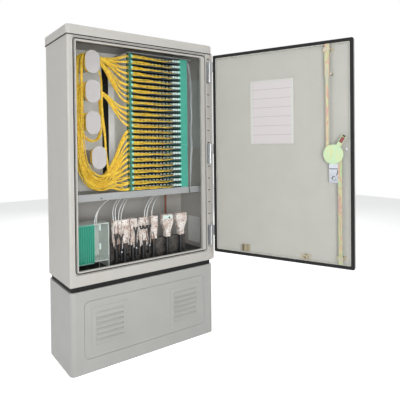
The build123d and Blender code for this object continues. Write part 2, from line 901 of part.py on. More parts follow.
def cord(points, diameter):
    """A round cord along straight runs joined by tangent arcs."""
    radii = route_radii(points)
    with BuildPart() as piece:
        with BuildLine():
            route = FilletPolyline(*points, radius=radii)
        start = Plane(origin=route @ 0, z_dir=route % 0)
        with BuildSketch(start):
            Circle(diameter / 2)
        sweep(path=route)
    drawn = pi * (diameter / 2) ** 2 * route.length
    print("cord", round(route.length), "mm, radii", [round(r) for r in radii], end=" ")
    print("volume share", round(piece.part.volume / drawn, 4))
    return piece.part


# Patch cords, drawn as plain bundles: nested loops off the top spool, then spool to tray
cord_y = -46.0
cord_lay = cord_bundle_diameter + fit_gap
cord_end_x = tray_left - 12.0
cord_end_y = cord_y - 16.0
hub_side = spool_hub_width / 2 + cord_bundle_diameter / 2 + fit_gap
hub_crown = spool_hub_height / 2 + cord_bundle_diameter / 2 + fit_gap
loop_ends = [shelf_top + rise for rise in (17.0, 109.0, 204.0, 304.0)]
patch_cord_routes = []
for loop_number, loop_end in enumerate(loop_ends):
    inset = loop_number * cord_lay
    layers_outside = (len(loop_ends) - 1 - loop_number) * cord_lay
    left = spool_column_x - hub_side - 5.0 - layers_outside
    crown = spool_centres_z[0] + hub_crown + layers_outside
    low = shelf_top + cord_bundle_diameter / 2 + fit_gap + inset * 1.1
    patch_cord_routes.append(
        [
            (spool_column_x, cord_y, crown),
            (left + 4, cord_y, crown),
            (left, cord_y, crown - 60),
            (left, cord_y, shelf_top + 389),
            (left + 3, cord_y, shelf_top + 219),
            (left + 24, cord_y, shelf_top + 109 + inset / 2),
            (left + 66, cord_y, low + 22),
            (tray_left - 116 + inset / 3, cord_y, low),
            (tray_left - 58, cord_y - 6, low + (loop_end - low) * 0.35),
            (cord_end_x, cord_end_y, loop_end),
            (tray_left, cord_end_y, loop_end),
        ]
    )
hub_right = spool_column_x + hub_side
patch_cord_routes.append(
    [
        (hub_right, cord_y, shelf_top + 573),
        (hub_right, cord_y, shelf_top + 599),
        (hub_right + 30, cord_y, shelf_top + 611),
        (tray_left - 61, cord_y - 8, shelf_top + 613),
        (cord_end_x, cord_end_y, shelf_top + 621),
        (tray_left, cord_end_y, shelf_top + 621),
    ]
)
for start, end in [(shelf_top + 569, shelf_top + 434), (shelf_top + 459, shelf_top + 351)]:
    patch_cord_routes.append(
        [
            (hub_right, cord_y, start),
            (hub_right, cord_y, start - 26),
            (hub_right + 34, cord_y, start - 50),
            (tray_left - 51, cord_y - 8, (start + end) / 2 - 26),
            (cord_end_x, cord_end_y, end),
            (tray_left, cord_end_y, end),
        ]
    )
patch_cord_bundles = [cord(points, cord_bundle_diameter) for points in patch_cord_routes]
with BuildPart() as patch_cords:
    add(patch_cord_bundles)
save(patch_cords.part, "patch_cords")

# Loose tubes from the fixings and the splice box, up through the shelf's slots
tube_top = shelf_top - shelf_thickness
tube_foot = fixing_top + fit_gap
tube_starts = [
    (splice_right - 60, -40, splice_top + fit_gap),
    (fixing_centres[1], -72, tube_foot),
    (fixing_centres[3], -72, tube_foot),
    (fixing_centres[4], -72, tube_foot),
]
tube_leans = [122, 46, 108, 94]
tube_routes = []
for (tube_x, tube_y, tube_z), lean in zip(tube_starts, tube_leans):
    tube_routes.append(
        [
            (tube_x, tube_y, tube_z),
            (tube_x + lean * 0.05, tube_y + 3, tube_z + 28),
            (tube_x + lean * 0.30, tube_y + 30, tube_z + 58),
            (tube_x + lean * 0.70, -8, tube_top - 50),
            (tube_x + lean * 0.95, 14, tube_top - 26),
            (tube_x + lean, 24, tube_top),
        ]
    )
loose_tube_runs = [cord(points, loose_tube_diameter) for points in tube_routes]
with BuildPart() as loose_tubes:
    add(loose_tube_runs)
save(loose_tubes.part, "loose_tubes")

# Hinges: three pairs of leaves. The fixed leaf carries the pin and the lower half of the knuckle
hinge_low = door_bottom + hinge_end_margin
hinge_high = door_top - hinge_end_margin
hinge_centres = [hinge_low, (hinge_low + hinge_high) / 2, hinge_high]
leaf_back = front_y - pin_y
leaf_inner = knuckle_radius + 0.5
with BuildPart() as hinge_fixed_leaves:
    for centre in hinge_centres:
        with BuildSketch(fixed_pin_plane.offset(centre - hinge_length / 2)):
            rectangle_between((-hinge_fixed_width, -leaf_inner), (leaf_back - hinge_leaf, leaf_back))
        extrude(amount=hinge_length)
        with BuildSketch(fixed_pin_plane.offset(centre - hinge_length / 2)):
            rectangle_between((-leaf_inner, 0), (leaf_back - hinge_leaf, leaf_back))
            Circle(knuckle_radius)
        extrude(amount=hinge_length / 2 - pin_clearance)
        with BuildSketch(fixed_pin_plane.offset(centre)):
            Circle(pin_radius)
        extrude(amount=hinge_length / 2)
        with BuildSketch(fixed_pin_plane.offset(centre - hinge_length / 4)):
            Circle(pin_radius)
        extrude(amount=hinge_length / 4)
save(hinge_fixed_leaves.part, "hinge_fixed_leaves")

# Moving leaves: strapped to the edge of the door, with the upper half of the knuckle
door_edge = door_hinge_edge - pin_x
strap_front = door_seal_y - door_seal_thickness - door_thickness + 2 - pin_y
with BuildPart() as hinge_moving_leaves:
    for centre in hinge_centres:
        with BuildSketch(pin_plane.offset(centre - hinge_length / 2)):
            rectangle_between((door_edge, door_edge + hinge_strap), (strap_front, -knuckle_radius + hinge_strap))
        extrude(amount=hinge_length)
        with BuildSketch(pin_plane.offset(centre)):
            rectangle_between((door_edge, 0), (-knuckle_radius, -knuckle_radius + hinge_strap))
            Circle(knuckle_radius)
            Circle(pin_radius + pin_clearance, mode=Mode.SUBTRACT)
        extrude(amount=hinge_length / 2)
save(hinge_moving_leaves.part, "hinge_moving_leaves")

# Door: moulded slab with a rim lip on the inside and a raised field on the outside
door_inner_level = -door_seal_thickness
door_outer_level = door_inner_level - door_thickness
lip_inset = door_seal_width + fit_gap
with BuildPart() as door_panel:
    with BuildSketch(door_plane.offset(door_outer_level)):
        rectangle_between((0, door_width), (door_bottom, door_top), radius=door_corner_radius)
    extrude(amount=door_thickness)
    with BuildSketch(door_plane.offset(door_inner_level)):
        rectangle_between(
            (lip_inset, door_width - lip_inset),
            (door_bottom + lip_inset, door_top - lip_inset),
            radius=door_corner_radius,
        )
        rectangle_between(
            (lip_inset + door_lip_width, door_width - lip_inset - door_lip_width),
            (door_bottom + lip_inset + door_lip_width, door_top - lip_inset - door_lip_width),
            Mode.SUBTRACT,
        )
    extrude(amount=door_lip_height)
    with BuildSketch(door_plane.offset(door_outer_level)):
        rectangle_between(
            (door_field_inset, latch_from_hinge - dish_width - door_field_inset / 2),
            (door_bottom + door_field_inset, door_top - door_field_inset),
        )
    extrude(amount=-door_field_proud, taper=30)
    with BuildSketch(door_plane.offset(door_outer_level)):
        with Locations((latch_from_hinge, latch_height)):
            Circle(spindle_radius + pin_clearance)
        rectangle_between(
            (latch_from_hinge - lock_width / 2 - fit_gap, latch_from_hinge + lock_width / 2 + fit_gap),
            (lock_bottom - fit_gap, lock_top + fit_gap),
        )
    extrude(amount=door_thickness, mode=Mode.SUBTRACT)
save(door_panel.part, "door_panel")

# Rubber seal round the door's rim
with BuildPart() as door_seal:
    with BuildSketch(door_plane.offset(-door_seal_thickness)):
        rectangle_between((0, door_width), (door_bottom, door_top), radius=door_corner_radius)
        rectangle_between(
            (door_seal_width, door_width - door_seal_width),
            (door_bottom + door_seal_width, door_top - door_seal_width),
            Mode.SUBTRACT,
        )
    extrude(amount=door_seal_thickness)
save(door_seal.part, "door_seal")

# Record card in its holder on the inside of the door
with BuildPart() as record_card:
    with BuildSketch(door_plane.offset(door_inner_level)):
        rectangle_between(
            (card_from_hinge, card_from_hinge + card_width),
            (card_bottom, card_bottom + card_height),
        )
    extrude(amount=card_thickness)
save(record_card.part, "record_card")


def rod_guide(rod_s, rod_width, height):
    """Strap with two feet that holds a latch rod to the door."""
    inner = rod_width / 2 + guide_clearance
    outer = inner + guide_wall
    top_level = rod_level + rod_thickness + guide_clearance
    guide_depth = top_level - door_inner_level
    with BuildPart() as guide:
        for side in (-1, 1):
            with BuildSketch(door_plane.offset(door_inner_level)):
                rectangle_between(
                    sorted((rod_s + side * inner, rod_s + side * (outer + guide_foot))),
                    (height, height + guide_height),
                )
            extrude(amount=guide_wall)
            with BuildSketch(door_plane.offset(door_inner_level)):
                rectangle_between(
                    sorted((rod_s + side * inner, rod_s + side * outer)),
                    (height, height + guide_height),
                )
            extrude(amount=guide_depth + guide_wall)
        with BuildSketch(door_plane.offset(top_level)):
            rectangle_between((rod_s - outer, rod_s + outer), (height, height + guide_height))
        extrude(amount=guide_wall)
    return guide.part


# Zinc-plated fittings on the inside of the door: rod guides, stop stud and stay brackets
upper_rod_s = latch_from_hinge - latch_pin_circle
lower_rod_s = latch_from_hinge + latch_pin_circle
stud_radius = 5.0
upper_guide = rod_guide(upper_rod_s, upper_rod_wide, upper_rod_top - guide_end_margin - guide_height)
lower_guide = rod_guide(lower_rod_s, lower_rod_width, lower_rod_bottom + guide_end_margin)
with BuildPart() as door_fittings:
    add(upper_guide)
    add(lower_guide)
    with BuildSketch(door_plane.offset(door_inner_level)):
        with Locations((upper_rod_s + upper_rod_wide / 2 + stud_radius + 1, upper_rod_wide_from + 12)):
            Circle(stud_radius)
    extrude(amount=rod_level + rod_thickness - door_inner_level)
    with BuildSketch(door_plane.offset(door_inner_level)):
        with Locations((stay_bracket_from_hinge, stay_bracket_height)):
            Rectangle(stay_bracket_width, stay_bracket_rise)
        with Locations((stay_catch_from_hinge, stay_catch_height)):
            Rectangle(stay_catch_width, stay_catch_rise)
    extrude(amount=guide_wall)
    with BuildSketch(door_plane.offset(door_inner_level)):
        with Locations((stay_bracket_from_hinge, stay_bracket_height)):
            with GridLocations(stay_bracket_width / 2, stay_bracket_rise, 2, 1):
                Rectangle(guide_wall, stay_bracket_rise)
    extrude(amount=stay_bracket_reach)
    with BuildSketch(door_plane.offset(door_inner_level)):
        with Locations((stay_catch_from_hinge, stay_catch_height)):
            Circle(stay_catch_outer)
            Circle(stay_catch_hole, mode=Mode.SUBTRACT)
    extrude(amount=stay_catch_reach)
save(door_fittings.part, "door_fittings")

# Lock body: outer dish, housing through the door and the spindle's bearing boss
dish_top = latch_height + dish_width / 2
with BuildPart() as lock_body:
    with BuildSketch(door_plane.offset(door_outer_level)):
        with Locations((latch_from_hinge, dish_top - dish_length / 2)):
            SlotOverall(dish_length, dish_width, rotation=90)
    extrude(amount=-dish_thickness)
    with BuildSketch(door_plane.offset(door_outer_level)):
        rectangle_between(
            (latch_from_hinge - lock_width / 2, latch_from_hinge + lock_width / 2),
            (lock_bottom, lock_top),
        )
    extrude(amount=lock_inner_level - door_outer_level)
    with BuildSketch(door_plane.offset(door_inner_level)):
        rectangle_between(
            (latch_from_hinge - spindle_radius * 3, latch_from_hinge + spindle_radius * 3),
            (lock_top - lock_bridge, latch_height),
        )
        with Locations((latch_from_hinge, latch_height)):
            Circle(spindle_radius * 3)
    extrude(amount=lock_inner_level - door_inner_level)
    with BuildSketch(door_plane.offset(door_outer_level - dish_thickness)):
        with Locations((latch_from_hinge, latch_height)):
            Circle(spindle_radius + pin_clearance)
        with Locations((latch_from_hinge, lock_cylinder_height)):
            Circle(lock_cylinder_radius + pin_clearance)
    extrude(amount=lock_inner_level - door_outer_level + dish_thickness, mode=Mode.SUBTRACT)
save(lock_body.part, "lock_body")

# Latch disc with its spindle, two rod pins and the side tongue, shown unlocked
with BuildPart() as latch_disc:
    with BuildSketch(door_plane.offset(latch_disc_level)):
        with Locations((latch_from_hinge, latch_height)):
            Circle(latch_disc_radius)
    extrude(amount=latch_disc_thickness)
    with BuildSketch(door_plane.offset(latch_disc_level)):
        with Locations((latch_from_hinge - latch_pin_circle, latch_height)):
            Circle(latch_pin_radius)
        with Locations((latch_from_hinge + latch_pin_circle, latch_height)):
            Circle(latch_pin_radius)
    extrude(amount=rod_level - 1 - latch_disc_level)
    with BuildSketch(door_plane.offset(latch_disc_level)):
        with Locations((latch_from_hinge, latch_height)):
            Circle(spindle_radius)
    extrude(amount=door_outer_level - dish_thickness - lever_standoff - latch_disc_level)
    with BuildSketch(door_plane.offset(latch_disc_level)):
        with Locations(Location((latch_from_hinge, latch_height), latch_turn)):
            with Locations((tongue_length / 2, 0)):
                Rectangle(tongue_length, tongue_width)
    extrude(amount=-tongue_thickness)
save(latch_disc.part, "latch_disc")

# Outside handle lever on the spindle
lever_level = door_outer_level - dish_thickness - lever_standoff
with BuildPart() as handle_lever:
    with BuildSketch(door_plane.offset(lever_level)):
        with Locations(Location((latch_from_hinge, latch_height), latch_turn - 90)):
            with Locations(((lever_length - lever_width) / 2, 0)):
                SlotOverall(lever_length, lever_width)
    extrude(amount=-lever_thickness)
    fillet(handle_lever.faces().sort_by(Axis(door_plane.origin, door_plane.z_dir))[0].edges(), 3)
save(handle_lever.part, "handle_lever")

# Latch rods: flat bars with a cross slot for the disc's pin
slot_height = 2 * (latch_pin_radius + latch_pin_lift_error + guide_clearance)
pin_travel = latch_pin_circle * (1 - cos(radians(latch_turn)))


def latch_rod(side, label):
    """A latch rod; side is -1 for the upper rod on the hinge side, +1 for the lower one."""
    outer_s = latch_from_hinge + side * (latch_pin_circle + upper_rod_width / 2 + 1.5)
    inner_s = latch_from_hinge + side * (spindle_radius + 1.5)
    slot_outer = latch_from_hinge + side * (latch_pin_circle + latch_pin_radius + 0.6)
    slot_inner = latch_from_hinge + side * (latch_pin_circle - pin_travel - latch_pin_radius - 0.6)
    with BuildPart() as rod:
        with BuildSketch(door_plane.offset(rod_level)):
            rectangle_between(
                sorted((outer_s, inner_s)),
                (latch_height - rod_head_height / 2, latch_height + rod_head_height / 2),
            )
            if side < 0:
                rectangle_between(
                    (upper_rod_s - upper_rod_width / 2, upper_rod_s + upper_rod_width / 2),
                    (latch_height, upper_rod_wide_from),
                )
                rectangle_between(
                    (upper_rod_s - upper_rod_wide / 2, upper_rod_s + upper_rod_wide / 2),
                    (upper_rod_wide_from, upper_rod_top),
                )
            else:
                rectangle_between(
                    (lower_rod_s - lower_rod_width / 2, lower_rod_s + lower_rod_width / 2),
                    (lower_rod_bottom, latch_height),
                )
            rectangle_between(
                sorted((slot_outer, slot_inner)),
                (latch_height - slot_height / 2, latch_height + slot_height / 2),
                Mode.SUBTRACT,
            )
        extrude(amount=rod_thickness)
    save(rod.part, label)


latch_rod(-1, "upper_latch_rod")
latch_rod(1, "lower_latch_rod")

# Key cylinder with its cam
with BuildPart() as lock_cam:
    with BuildSketch(door_plane.offset(door_outer_level - dish_thickness - 1)):
        with Locations((latch_from_hinge, lock_cylinder_height)):
            Circle(lock_cylinder_radius)
    extrude(amount=lock_inner_level + pin_clearance + 1 + dish_thickness - door_outer_level)
    with BuildSketch(door_plane.offset(lock_inner_level + pin_clearance)):
        with Locations(Location((latch_from_hinge, lock_cylinder_height), lock_cam_angle)):
            with Locations(((lock_cam_reach - lock_cam_width / 2) / 2, 0)):
                SlotOverall(lock_cam_reach + lock_cam_width / 2, lock_cam_width)
    extrude(amount=lock_cam_thickness)
save(lock_cam.part, "lock_cam")

print("overall height", overall_height)
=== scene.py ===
# %% [markdown]
# # A fibre cross-connect cabinet with its door open
# Street cabinets like this one join incoming optical cables to subscriber lines. A pale moulded
# shell stands on a vented plinth. Inside are rows of thin trays full of small adapters, spools that
# take up the slack of yellow patch cords, and a lower bay where the cables are held.
# The rigid parts come ready made from the CAD frame. This script gives them their finishes and adds
# what is too fine or too soft for CAD: cords, connectors, straps, screws and ruled lines.

from math import cos, pi, radians, sin
from random import Random

import bmesh
import bpy
from mathutils import Matrix, Vector


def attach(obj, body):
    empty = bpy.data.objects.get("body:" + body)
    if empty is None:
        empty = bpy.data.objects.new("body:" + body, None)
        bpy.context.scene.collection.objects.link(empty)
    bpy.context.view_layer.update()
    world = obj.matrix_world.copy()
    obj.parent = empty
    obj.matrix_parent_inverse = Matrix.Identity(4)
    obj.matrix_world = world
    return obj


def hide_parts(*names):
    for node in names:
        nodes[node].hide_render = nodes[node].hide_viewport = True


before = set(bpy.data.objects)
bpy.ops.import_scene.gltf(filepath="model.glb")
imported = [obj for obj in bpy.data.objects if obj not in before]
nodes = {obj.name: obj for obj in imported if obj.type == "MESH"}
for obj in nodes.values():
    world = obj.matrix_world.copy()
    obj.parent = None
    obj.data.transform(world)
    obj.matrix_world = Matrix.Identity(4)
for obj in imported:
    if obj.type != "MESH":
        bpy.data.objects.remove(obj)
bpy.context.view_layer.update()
MM = 0.001
print("CAD nodes:", len(nodes))

# %% [markdown]
# ## Working in the door's own directions
# The door stands open at 112.3 degrees, so nothing on it lines up with the axes of the world. Three
# numbers are easier to think in: how far a point is from the hinge edge, how high it is, and how far
# it stands inwards from the door's sealing face. One matrix turns those into a place in the scene.

# %% Door directions
DOOR_OPEN = radians(112.3)
PIN = Vector((356, -150, 0)) * MM
along_door = Vector((-cos(DOOR_OPEN), -sin(DOOR_OPEN), 0))
into_door = Vector((-sin(DOOR_OPEN), cos(DOOR_OPEN), 0))
closed_edge = Vector((336 - 356, -146.5 + 150, 0)) * MM
door_edge = PIN + Matrix.Rotation(DOOR_OPEN, 3, "Z") @ closed_edge
door_frame = Matrix((
    (along_door.x, 0, into_door.x, door_edge.x),
    (along_door.y, 0, into_door.y, door_edge.y),
    (0, 1, 0, 0),
    (0, 0, 0, 1),
))
print("door edge at", [round(v, 4) for v in door_edge])

# %% [markdown]
# ## Colours and node trees
# A colour given in hex is an sRGB value, while Blender's shaders work in linear light, so every hex
# colour goes through one conversion. One more function adds a node with its settings and its links,
# which keeps each material below short enough to read in one go.

# %% Colour and node helpers


def linear(hex_colour):
    """An sRGB hex colour as linear RGBA."""
    channels = [int(hex_colour[i : i + 2], 16) / 255 for i in (1, 3, 5)]
    return [c / 12.92 if c <= 0.04045 else ((c + 0.055) / 1.055) ** 2.4 for c in channels] + [1.0]


def add_node(tree, kind, settings=None, **sockets):
    """Adds a node, sets its properties, and sets or links its inputs (s0 is the first input)."""
    made = tree.nodes.new(kind)
    for name, value in (settings or {}).items():
        setattr(made, name, value)
    for name, value in sockets.items():
        if name[0] == "s" and name[1:].isdigit():
            socket = made.inputs[int(name[1:])]
        else:
            socket = made.inputs[name.replace("_", " ")]
        if isinstance(value, bpy.types.NodeSocket):
            tree.links.new(value, socket)
        else:
            socket.default_value = value
    return made


def new_material(name):
    """An empty material with its output node."""
    made = bpy.data.materials.new(name)
    made.use_nodes = True
    made.node_tree.nodes.clear()
    output = made.node_tree.nodes.new("ShaderNodeOutputMaterial")
    return made, made.node_tree, output


def surface(tree, output, shader):
    """Links a shader to the material's output."""
    tree.links.new(shader.outputs[0], output.inputs["Surface"])


def object_place(tree):
    """The point on the surface, in metres in the object's own frame."""
    return add_node(tree, "ShaderNodeTexCoord").outputs["Object"]


def noise(tree, place, size_mm, detail=2.0, **inputs):
    """A noise whose features are about size_mm wide."""
    scale = 1 / (size_mm * MM)
    return add_node(tree, "ShaderNodeTexNoise", Vector=place, Scale=scale, Detail=detail, **inputs)


def bumps(tree, pattern, strength, depth_mm):
    """A pattern as small relief, ready for a shader's Normal."""
    height = pattern.outputs["Fac"]
    made = add_node(tree, "ShaderNodeBump", Strength=strength, Distance=depth_mm * MM, Height=height)
    return made.outputs["Normal"]


def principled(tree, output, **inputs):
    """The Principled shader, linked to the material's output."""
    shade = add_node(tree, "ShaderNodeBsdfPrincipled", **inputs)
    surface(tree, output, shade)
    return shade


def mixed_colour(tree, factor, first, second):
    """A colour that goes from first to second with factor."""
    return add_node(
        tree, "ShaderNodeMix", {"data_type": "RGBA"}, Factor=factor, s6=linear(first), s7=linear(second)
    ).outputs[2]


# %% [markdown]
# ## Moulded glass-fibre composite
# The shell, the plinth and the door are pressed from sheet moulding compound, a polyester filled
# with glass and chalk. It has no flow lines: the eye sees a dense stone-grey satin with a very fine
# pebble and a little cloudiness where the filler is uneven.


# %% Composite finish
def composite(name, clean, cloudy, roughness=0.46, pebble_mm=1.6):
    """Pressed polyester compound: slight clouds of colour and a fine pebble."""
    made, tree, output = new_material(name)
    place = object_place(tree)
    clouds = noise(tree, place, 90, 3.0)
    colour = mixed_colour(tree, clouds.outputs["Fac"], clean, cloudy)
    pebble = noise(tree, place, pebble_mm)
    relief = bumps(tree, pebble, 0.10, 0.25)
    principled(tree, output, Base_Color=colour, Roughness=roughness, IOR=1.5, Normal=relief)
    return made


shell_composite = composite("shell_composite", "#c0bdb8", "#b7b4ae")
plinth_composite = composite("plinth_composite", "#adadaa", "#a3a3a0", roughness=0.42)
door_composite = composite("door_composite", "#b6b6af", "#adada7", roughness=0.5)

# %% [markdown]
# ## Other moulded plastics and rubber
# Adapters, trays and cassettes are ABS in the sea-green that marks one family of optical parts. The
# spool flanges are milky polypropylene, which lets a little light through, so some subsurface
# scattering keeps them from looking like paint. Seals are EPDM rubber: nearly black and quite matt.
# The boots of the small connectors are dark blue, and read as a row of dots on each tray.


# %% Moulded plastics
def moulded(name, colour, second, roughness=0.4, mottle_mm=12.0, scatter=0.0):
    """Injection-moulded plastic with a faint mottle and a fine spark-eroded grain."""
    made, tree, output = new_material(name)
    place = object_place(tree)
    mottle = noise(tree, place, mottle_mm)
    grain = noise(tree, place, 0.8)
    relief = bumps(tree, grain, 0.08, 0.1)
    shade = principled(
        tree,
        output,
        Base_Color=mixed_colour(tree, mottle.outputs["Fac"], colour, second),
        Roughness=roughness,
        IOR=1.5,
        Normal=relief,
    )
    if scatter:
        shade.inputs["Subsurface Weight"].default_value = scatter
        shade.inputs["Subsurface Radius"].default_value = (1.0, 0.8, 0.7)
        shade.inputs["Subsurface Scale"].default_value = 3 * MM
    return made


cassette_abs = moulded("cassette_abs", "#12896f", "#0f7c65", roughness=0.35)
# A lighter teal, used as a painted highlight on the cassettes' front edges.
cassette_highlight_abs = moulded("cassette_highlight_abs", "#55c2a9", "#43b098", roughness=0.35)
connector_abs = moulded("connector_abs", "#e8f2ee", "#c4e2da", roughness=0.35, mottle_mm=4.0)
clip_abs = moulded("clip_abs", "#a4e6d5", "#86dcc8", roughness=0.35)
comb_abs = moulded("comb_abs", "#7fcbb9", "#a6ddcf", roughness=0.5)
boot_rubber = moulded("boot_rubber", "#22324a", "#3b5870", roughness=0.5)
card_sleeve = moulded("card_sleeve", "#c6c6c2", "#bebfba", roughness=0.25)
spool_polypropylene = moulded("spool_polypropylene", "#c4bfbf", "#b9b7b5", roughness=0.35, scatter=0.25)
clear_styrene = moulded("clear_styrene", "#dde3de", "#ccd4ce", roughness=0.25, scatter=0.2)
black_nylon = moulded("black_nylon", "#1a1a1b", "#222222", roughness=0.45)
seal_epdm = moulded("seal_epdm", "#060707", "#0a0b0b", roughness=0.85)
white_tube = moulded("white_tube", "#f4f6f4", "#e4e8e6", roughness=0.3, scatter=0.3)
wire_grey = moulded("wire_grey", "#c9cdd0", "#b2b8bc", roughness=0.4)
tan_tape = moulded("tan_tape", "#7a5a48", "#5c4338", roughness=0.6)
brown_sheath = moulded("brown_sheath", "#9a4f35", "#7d3f2c", roughness=0.5)

# %% [markdown]
# ## Blotched cable heads
# The cable heads at the foot of the cabinet are pale nylon, blotched with brown and tan and dotted with
# dark specks. A broad noise lays the blotches, and a fine one gives the specks above a threshold and
# roughens the surface.


# %% Blotched nylon
def blotched(name, clean, blotch_tone, speck, blotch_mm, speck_share):
    """A surface under broad blotches and small dark specks."""
    made, tree, output = new_material(name)
    place = object_place(tree)
    broad = noise(tree, place, blotch_mm, 4.0)
    blotch = add_node(tree, "ShaderNodeMapRange", Value=broad.outputs["Fac"], s1=0.42, s2=0.68)
    base = mixed_colour(tree, blotch.outputs[0], clean, blotch_tone)
    fine = noise(tree, place, 5, 3.0)
    dots = add_node(
        tree, "ShaderNodeMath", {"operation": "GREATER_THAN"}, s0=fine.outputs["Fac"], s1=1 - speck_share
    )
    specked = add_node(
        tree, "ShaderNodeMix", {"data_type": "RGBA"}, Factor=dots.outputs[0], s6=base, s7=linear(speck)
    )
    relief = bumps(tree, fine, 0.4, 0.8)
    principled(tree, output, Base_Color=specked.outputs[2], Roughness=0.5, IOR=1.5, Normal=relief)
    return made


clamp_nylon = blotched("clamp_nylon", "#ece6e0", "#bfa79a", "#4a3b36", 26, 0.39)
dusty_steel = blotched("dusty_steel", "#5b5753", "#33302f", "#1c1b1c", 30, 0.42)

# %% [markdown]
# ## Tray plastic
# A tray is one teal moulding, but between its two ends sit the adapters, which are black inside. So
# the finish reads the place across the tray: teal at the handle and dark along the adapters, a dark
# that is partly the adapters' own black and partly painted shade inside the tray. The pivot bosses
# are a deep green that is painted shade between the clips, against which the pale guide clips stand out.


# %% Tray finish
def tray_plastic(name, ends, middle, middle_from_mm, middle_to_mm):
    """Teal plastic, near black along X over the adapters, partly painted shade; painted shade at the boss.
    """
    made, tree, output = new_material(name)
    place = object_place(tree)
    across = add_node(tree, "ShaderNodeSeparateXYZ", s0=place).outputs["X"]
    centre = (middle_from_mm + middle_to_mm) / 2 * MM
    half = (middle_to_mm - middle_from_mm) / 2 * MM
    inside = add_node(tree, "ShaderNodeMath", {"operation": "COMPARE"}, s0=across, s1=centre, s2=half)
    speckle = noise(tree, place, 4)
    teal = mixed_colour(tree, speckle.outputs["Fac"], *ends)
    # The dark middle is partly the adapters' black and partly painted shade inside the tray.
    dark = mixed_colour(tree, speckle.outputs["Fac"], *middle)
    handle = add_node(
        tree, "ShaderNodeMix", {"data_type": "RGBA"}, Factor=inside.outputs[0], s6=teal, s7=dark
    )
    # Painted shade: the boss end turns deep green for the shadow between the clips.
    shaded_boss = add_node(
        tree, "ShaderNodeMath", {"operation": "LESS_THAN"}, s0=across, s1=(middle_from_mm + 14) * MM
    )
    colour = add_node(
        tree,
        "ShaderNodeMix",
        {"data_type": "RGBA"},
        Factor=shaded_boss.outputs[0],
        s6=handle.outputs[2],
        s7=linear("#1d6a57"),
    )
    principled(tree, output, Base_Color=colour.outputs[2], Roughness=0.4, IOR=1.5)
    return made


tray_abs = tray_plastic("tray_abs", ("#3a9f8a", "#50af9b"), ("#1a2630", "#34484a"), -58, 216)

# %% [markdown]
# ## Yellow cord jacket
# Yellow is the colour code of single-mode fibre. The jacket is a smooth halogen-free compound with a
# soft gloss. No two cords look quite alike in a bundle, as age and light shift them from lemon to
# amber, so a slow noise across the bundle moves the colour between the two.


# %% Yellow jacket
def jacket(name, light, deep):
    """Extruded cord jacket whose colour drifts slowly across a bundle."""
    made, tree, output = new_material(name)
    place = object_place(tree)
    drift = noise(tree, place, 9, 1.0)
    contrast = add_node(tree, "ShaderNodeMapRange", Value=drift.outputs["Fac"], s1=0.35, s2=0.65)
    principled(
        tree,
        output,
        Base_Color=mixed_colour(tree, contrast.outputs[0], light, deep),
        Roughness=0.36,
        IOR=1.5,
    )
    return made


yellow_jacket = jacket("yellow_jacket", "#fbe14e", "#e6b32a")

# %% [markdown]
# ## Metals
# The latch and its rods are steel with yellow zinc passivate, whose thin chromate film shows bands of
# gold, rose and green. The lock is a zinc casting with bright chrome. Shelf, plate and rack are sheet
# steel with grey powder coat, and the floor plate has a black one.


# %% Metal finishes
def passivate(name, ends, tints):
    """Zinc under a chromate film: a metal whose tint drifts through gold, rose and green."""
    made, tree, output = new_material(name)
    place = object_place(tree)
    stretched = add_node(tree, "ShaderNodeMapping", Vector=place, Scale=(1, 1, 0.25))
    film = noise(tree, stretched.outputs[0], 22, Distortion=1.2)
    ramp = add_node(tree, "ShaderNodeValToRGB", Fac=film.outputs["Fac"])
    bands = ramp.color_ramp
    bands.elements[0].position = 0.30
    bands.elements[0].color = linear(ends[0])
    bands.elements[1].position = 0.74
    bands.elements[1].color = linear(ends[1])
    for stop, tint in zip((0.42, 0.50, 0.58, 0.67), tints):
        bands.elements.new(stop).color = linear(tint)
    principled(tree, output, Base_Color=ramp.outputs["Color"], Metallic=0.6, Roughness=0.42)
    return made


def plain_metal(name, colour, second, roughness):
    """Bare or plated metal with faint drawn streaks along the height."""
    made, tree, output = new_material(name)
    place = object_place(tree)
    drawn = add_node(tree, "ShaderNodeMapping", Vector=place, Scale=(1, 1, 0.1))
    streaks = noise(tree, drawn.outputs[0], 1.5)
    principled(
        tree,
        output,
        Base_Color=mixed_colour(tree, streaks.outputs["Fac"], colour, second),
        Metallic=1.0,
        Roughness=roughness,
    )
    return made


def powder_coat(name, colour, second, roughness=0.45):
    """Baked powder coat: even colour with the texture called orange peel."""
    made, tree, output = new_material(name)
    place = object_place(tree)
    peel = noise(tree, place, 2.5, 1.0)
    relief = bumps(tree, peel, 0.12, 0.2)
    patches = noise(tree, place, 70)
    principled(
        tree,
        output,
        Base_Color=mixed_colour(tree, patches.outputs["Fac"], colour, second),
        Roughness=roughness,
        Normal=relief,
    )
    return made


rod_tints = ("#abb68a", "#b48d86", "#b7b18c", "#9abb88")
disc_tints = ("#b5c39c", "#a8c5a4", "#bcc398", "#abc59c")
yellow_zinc = passivate("yellow_zinc", ("#a5a094", "#98957f"), rod_tints)
green_zinc = passivate("green_zinc", ("#b6bf90", "#c0bd8e"), disc_tints)
# The door fittings are the rods' yellow zinc; their greyer colour here is painted shade.
shaded_zinc = plain_metal("shaded_zinc", "#b9b2a0", "#9a9482", 0.45)
rose_lacquer = moulded("rose_lacquer", "#a5525a", "#6e3238", roughness=0.35, mottle_mm=9.0)
bright_chrome = plain_metal("bright_chrome", "#b9bdc4", "#a7abb3", 0.22)
bare_steel = plain_metal("bare_steel", "#b9babb", "#a6a8aa", 0.34)
grey_powder = powder_coat("grey_powder", "#a9abab", "#9ea1a1")
liner_sheet = powder_coat("liner_sheet", "#c6c9c6", "#babdba")
pale_powder = powder_coat("pale_powder", "#e8e9e6", "#dcdedb")
black_powder = powder_coat("black_powder", "#1c1d1f", "#242527", roughness=0.38)

# %% [markdown]
# ## A blank record card
# Each door carries a card for the cabling plan. Here it is empty, with only its printed rules. The
# rules are drawn from the height in the cabinet, with one thin dark line for each row.


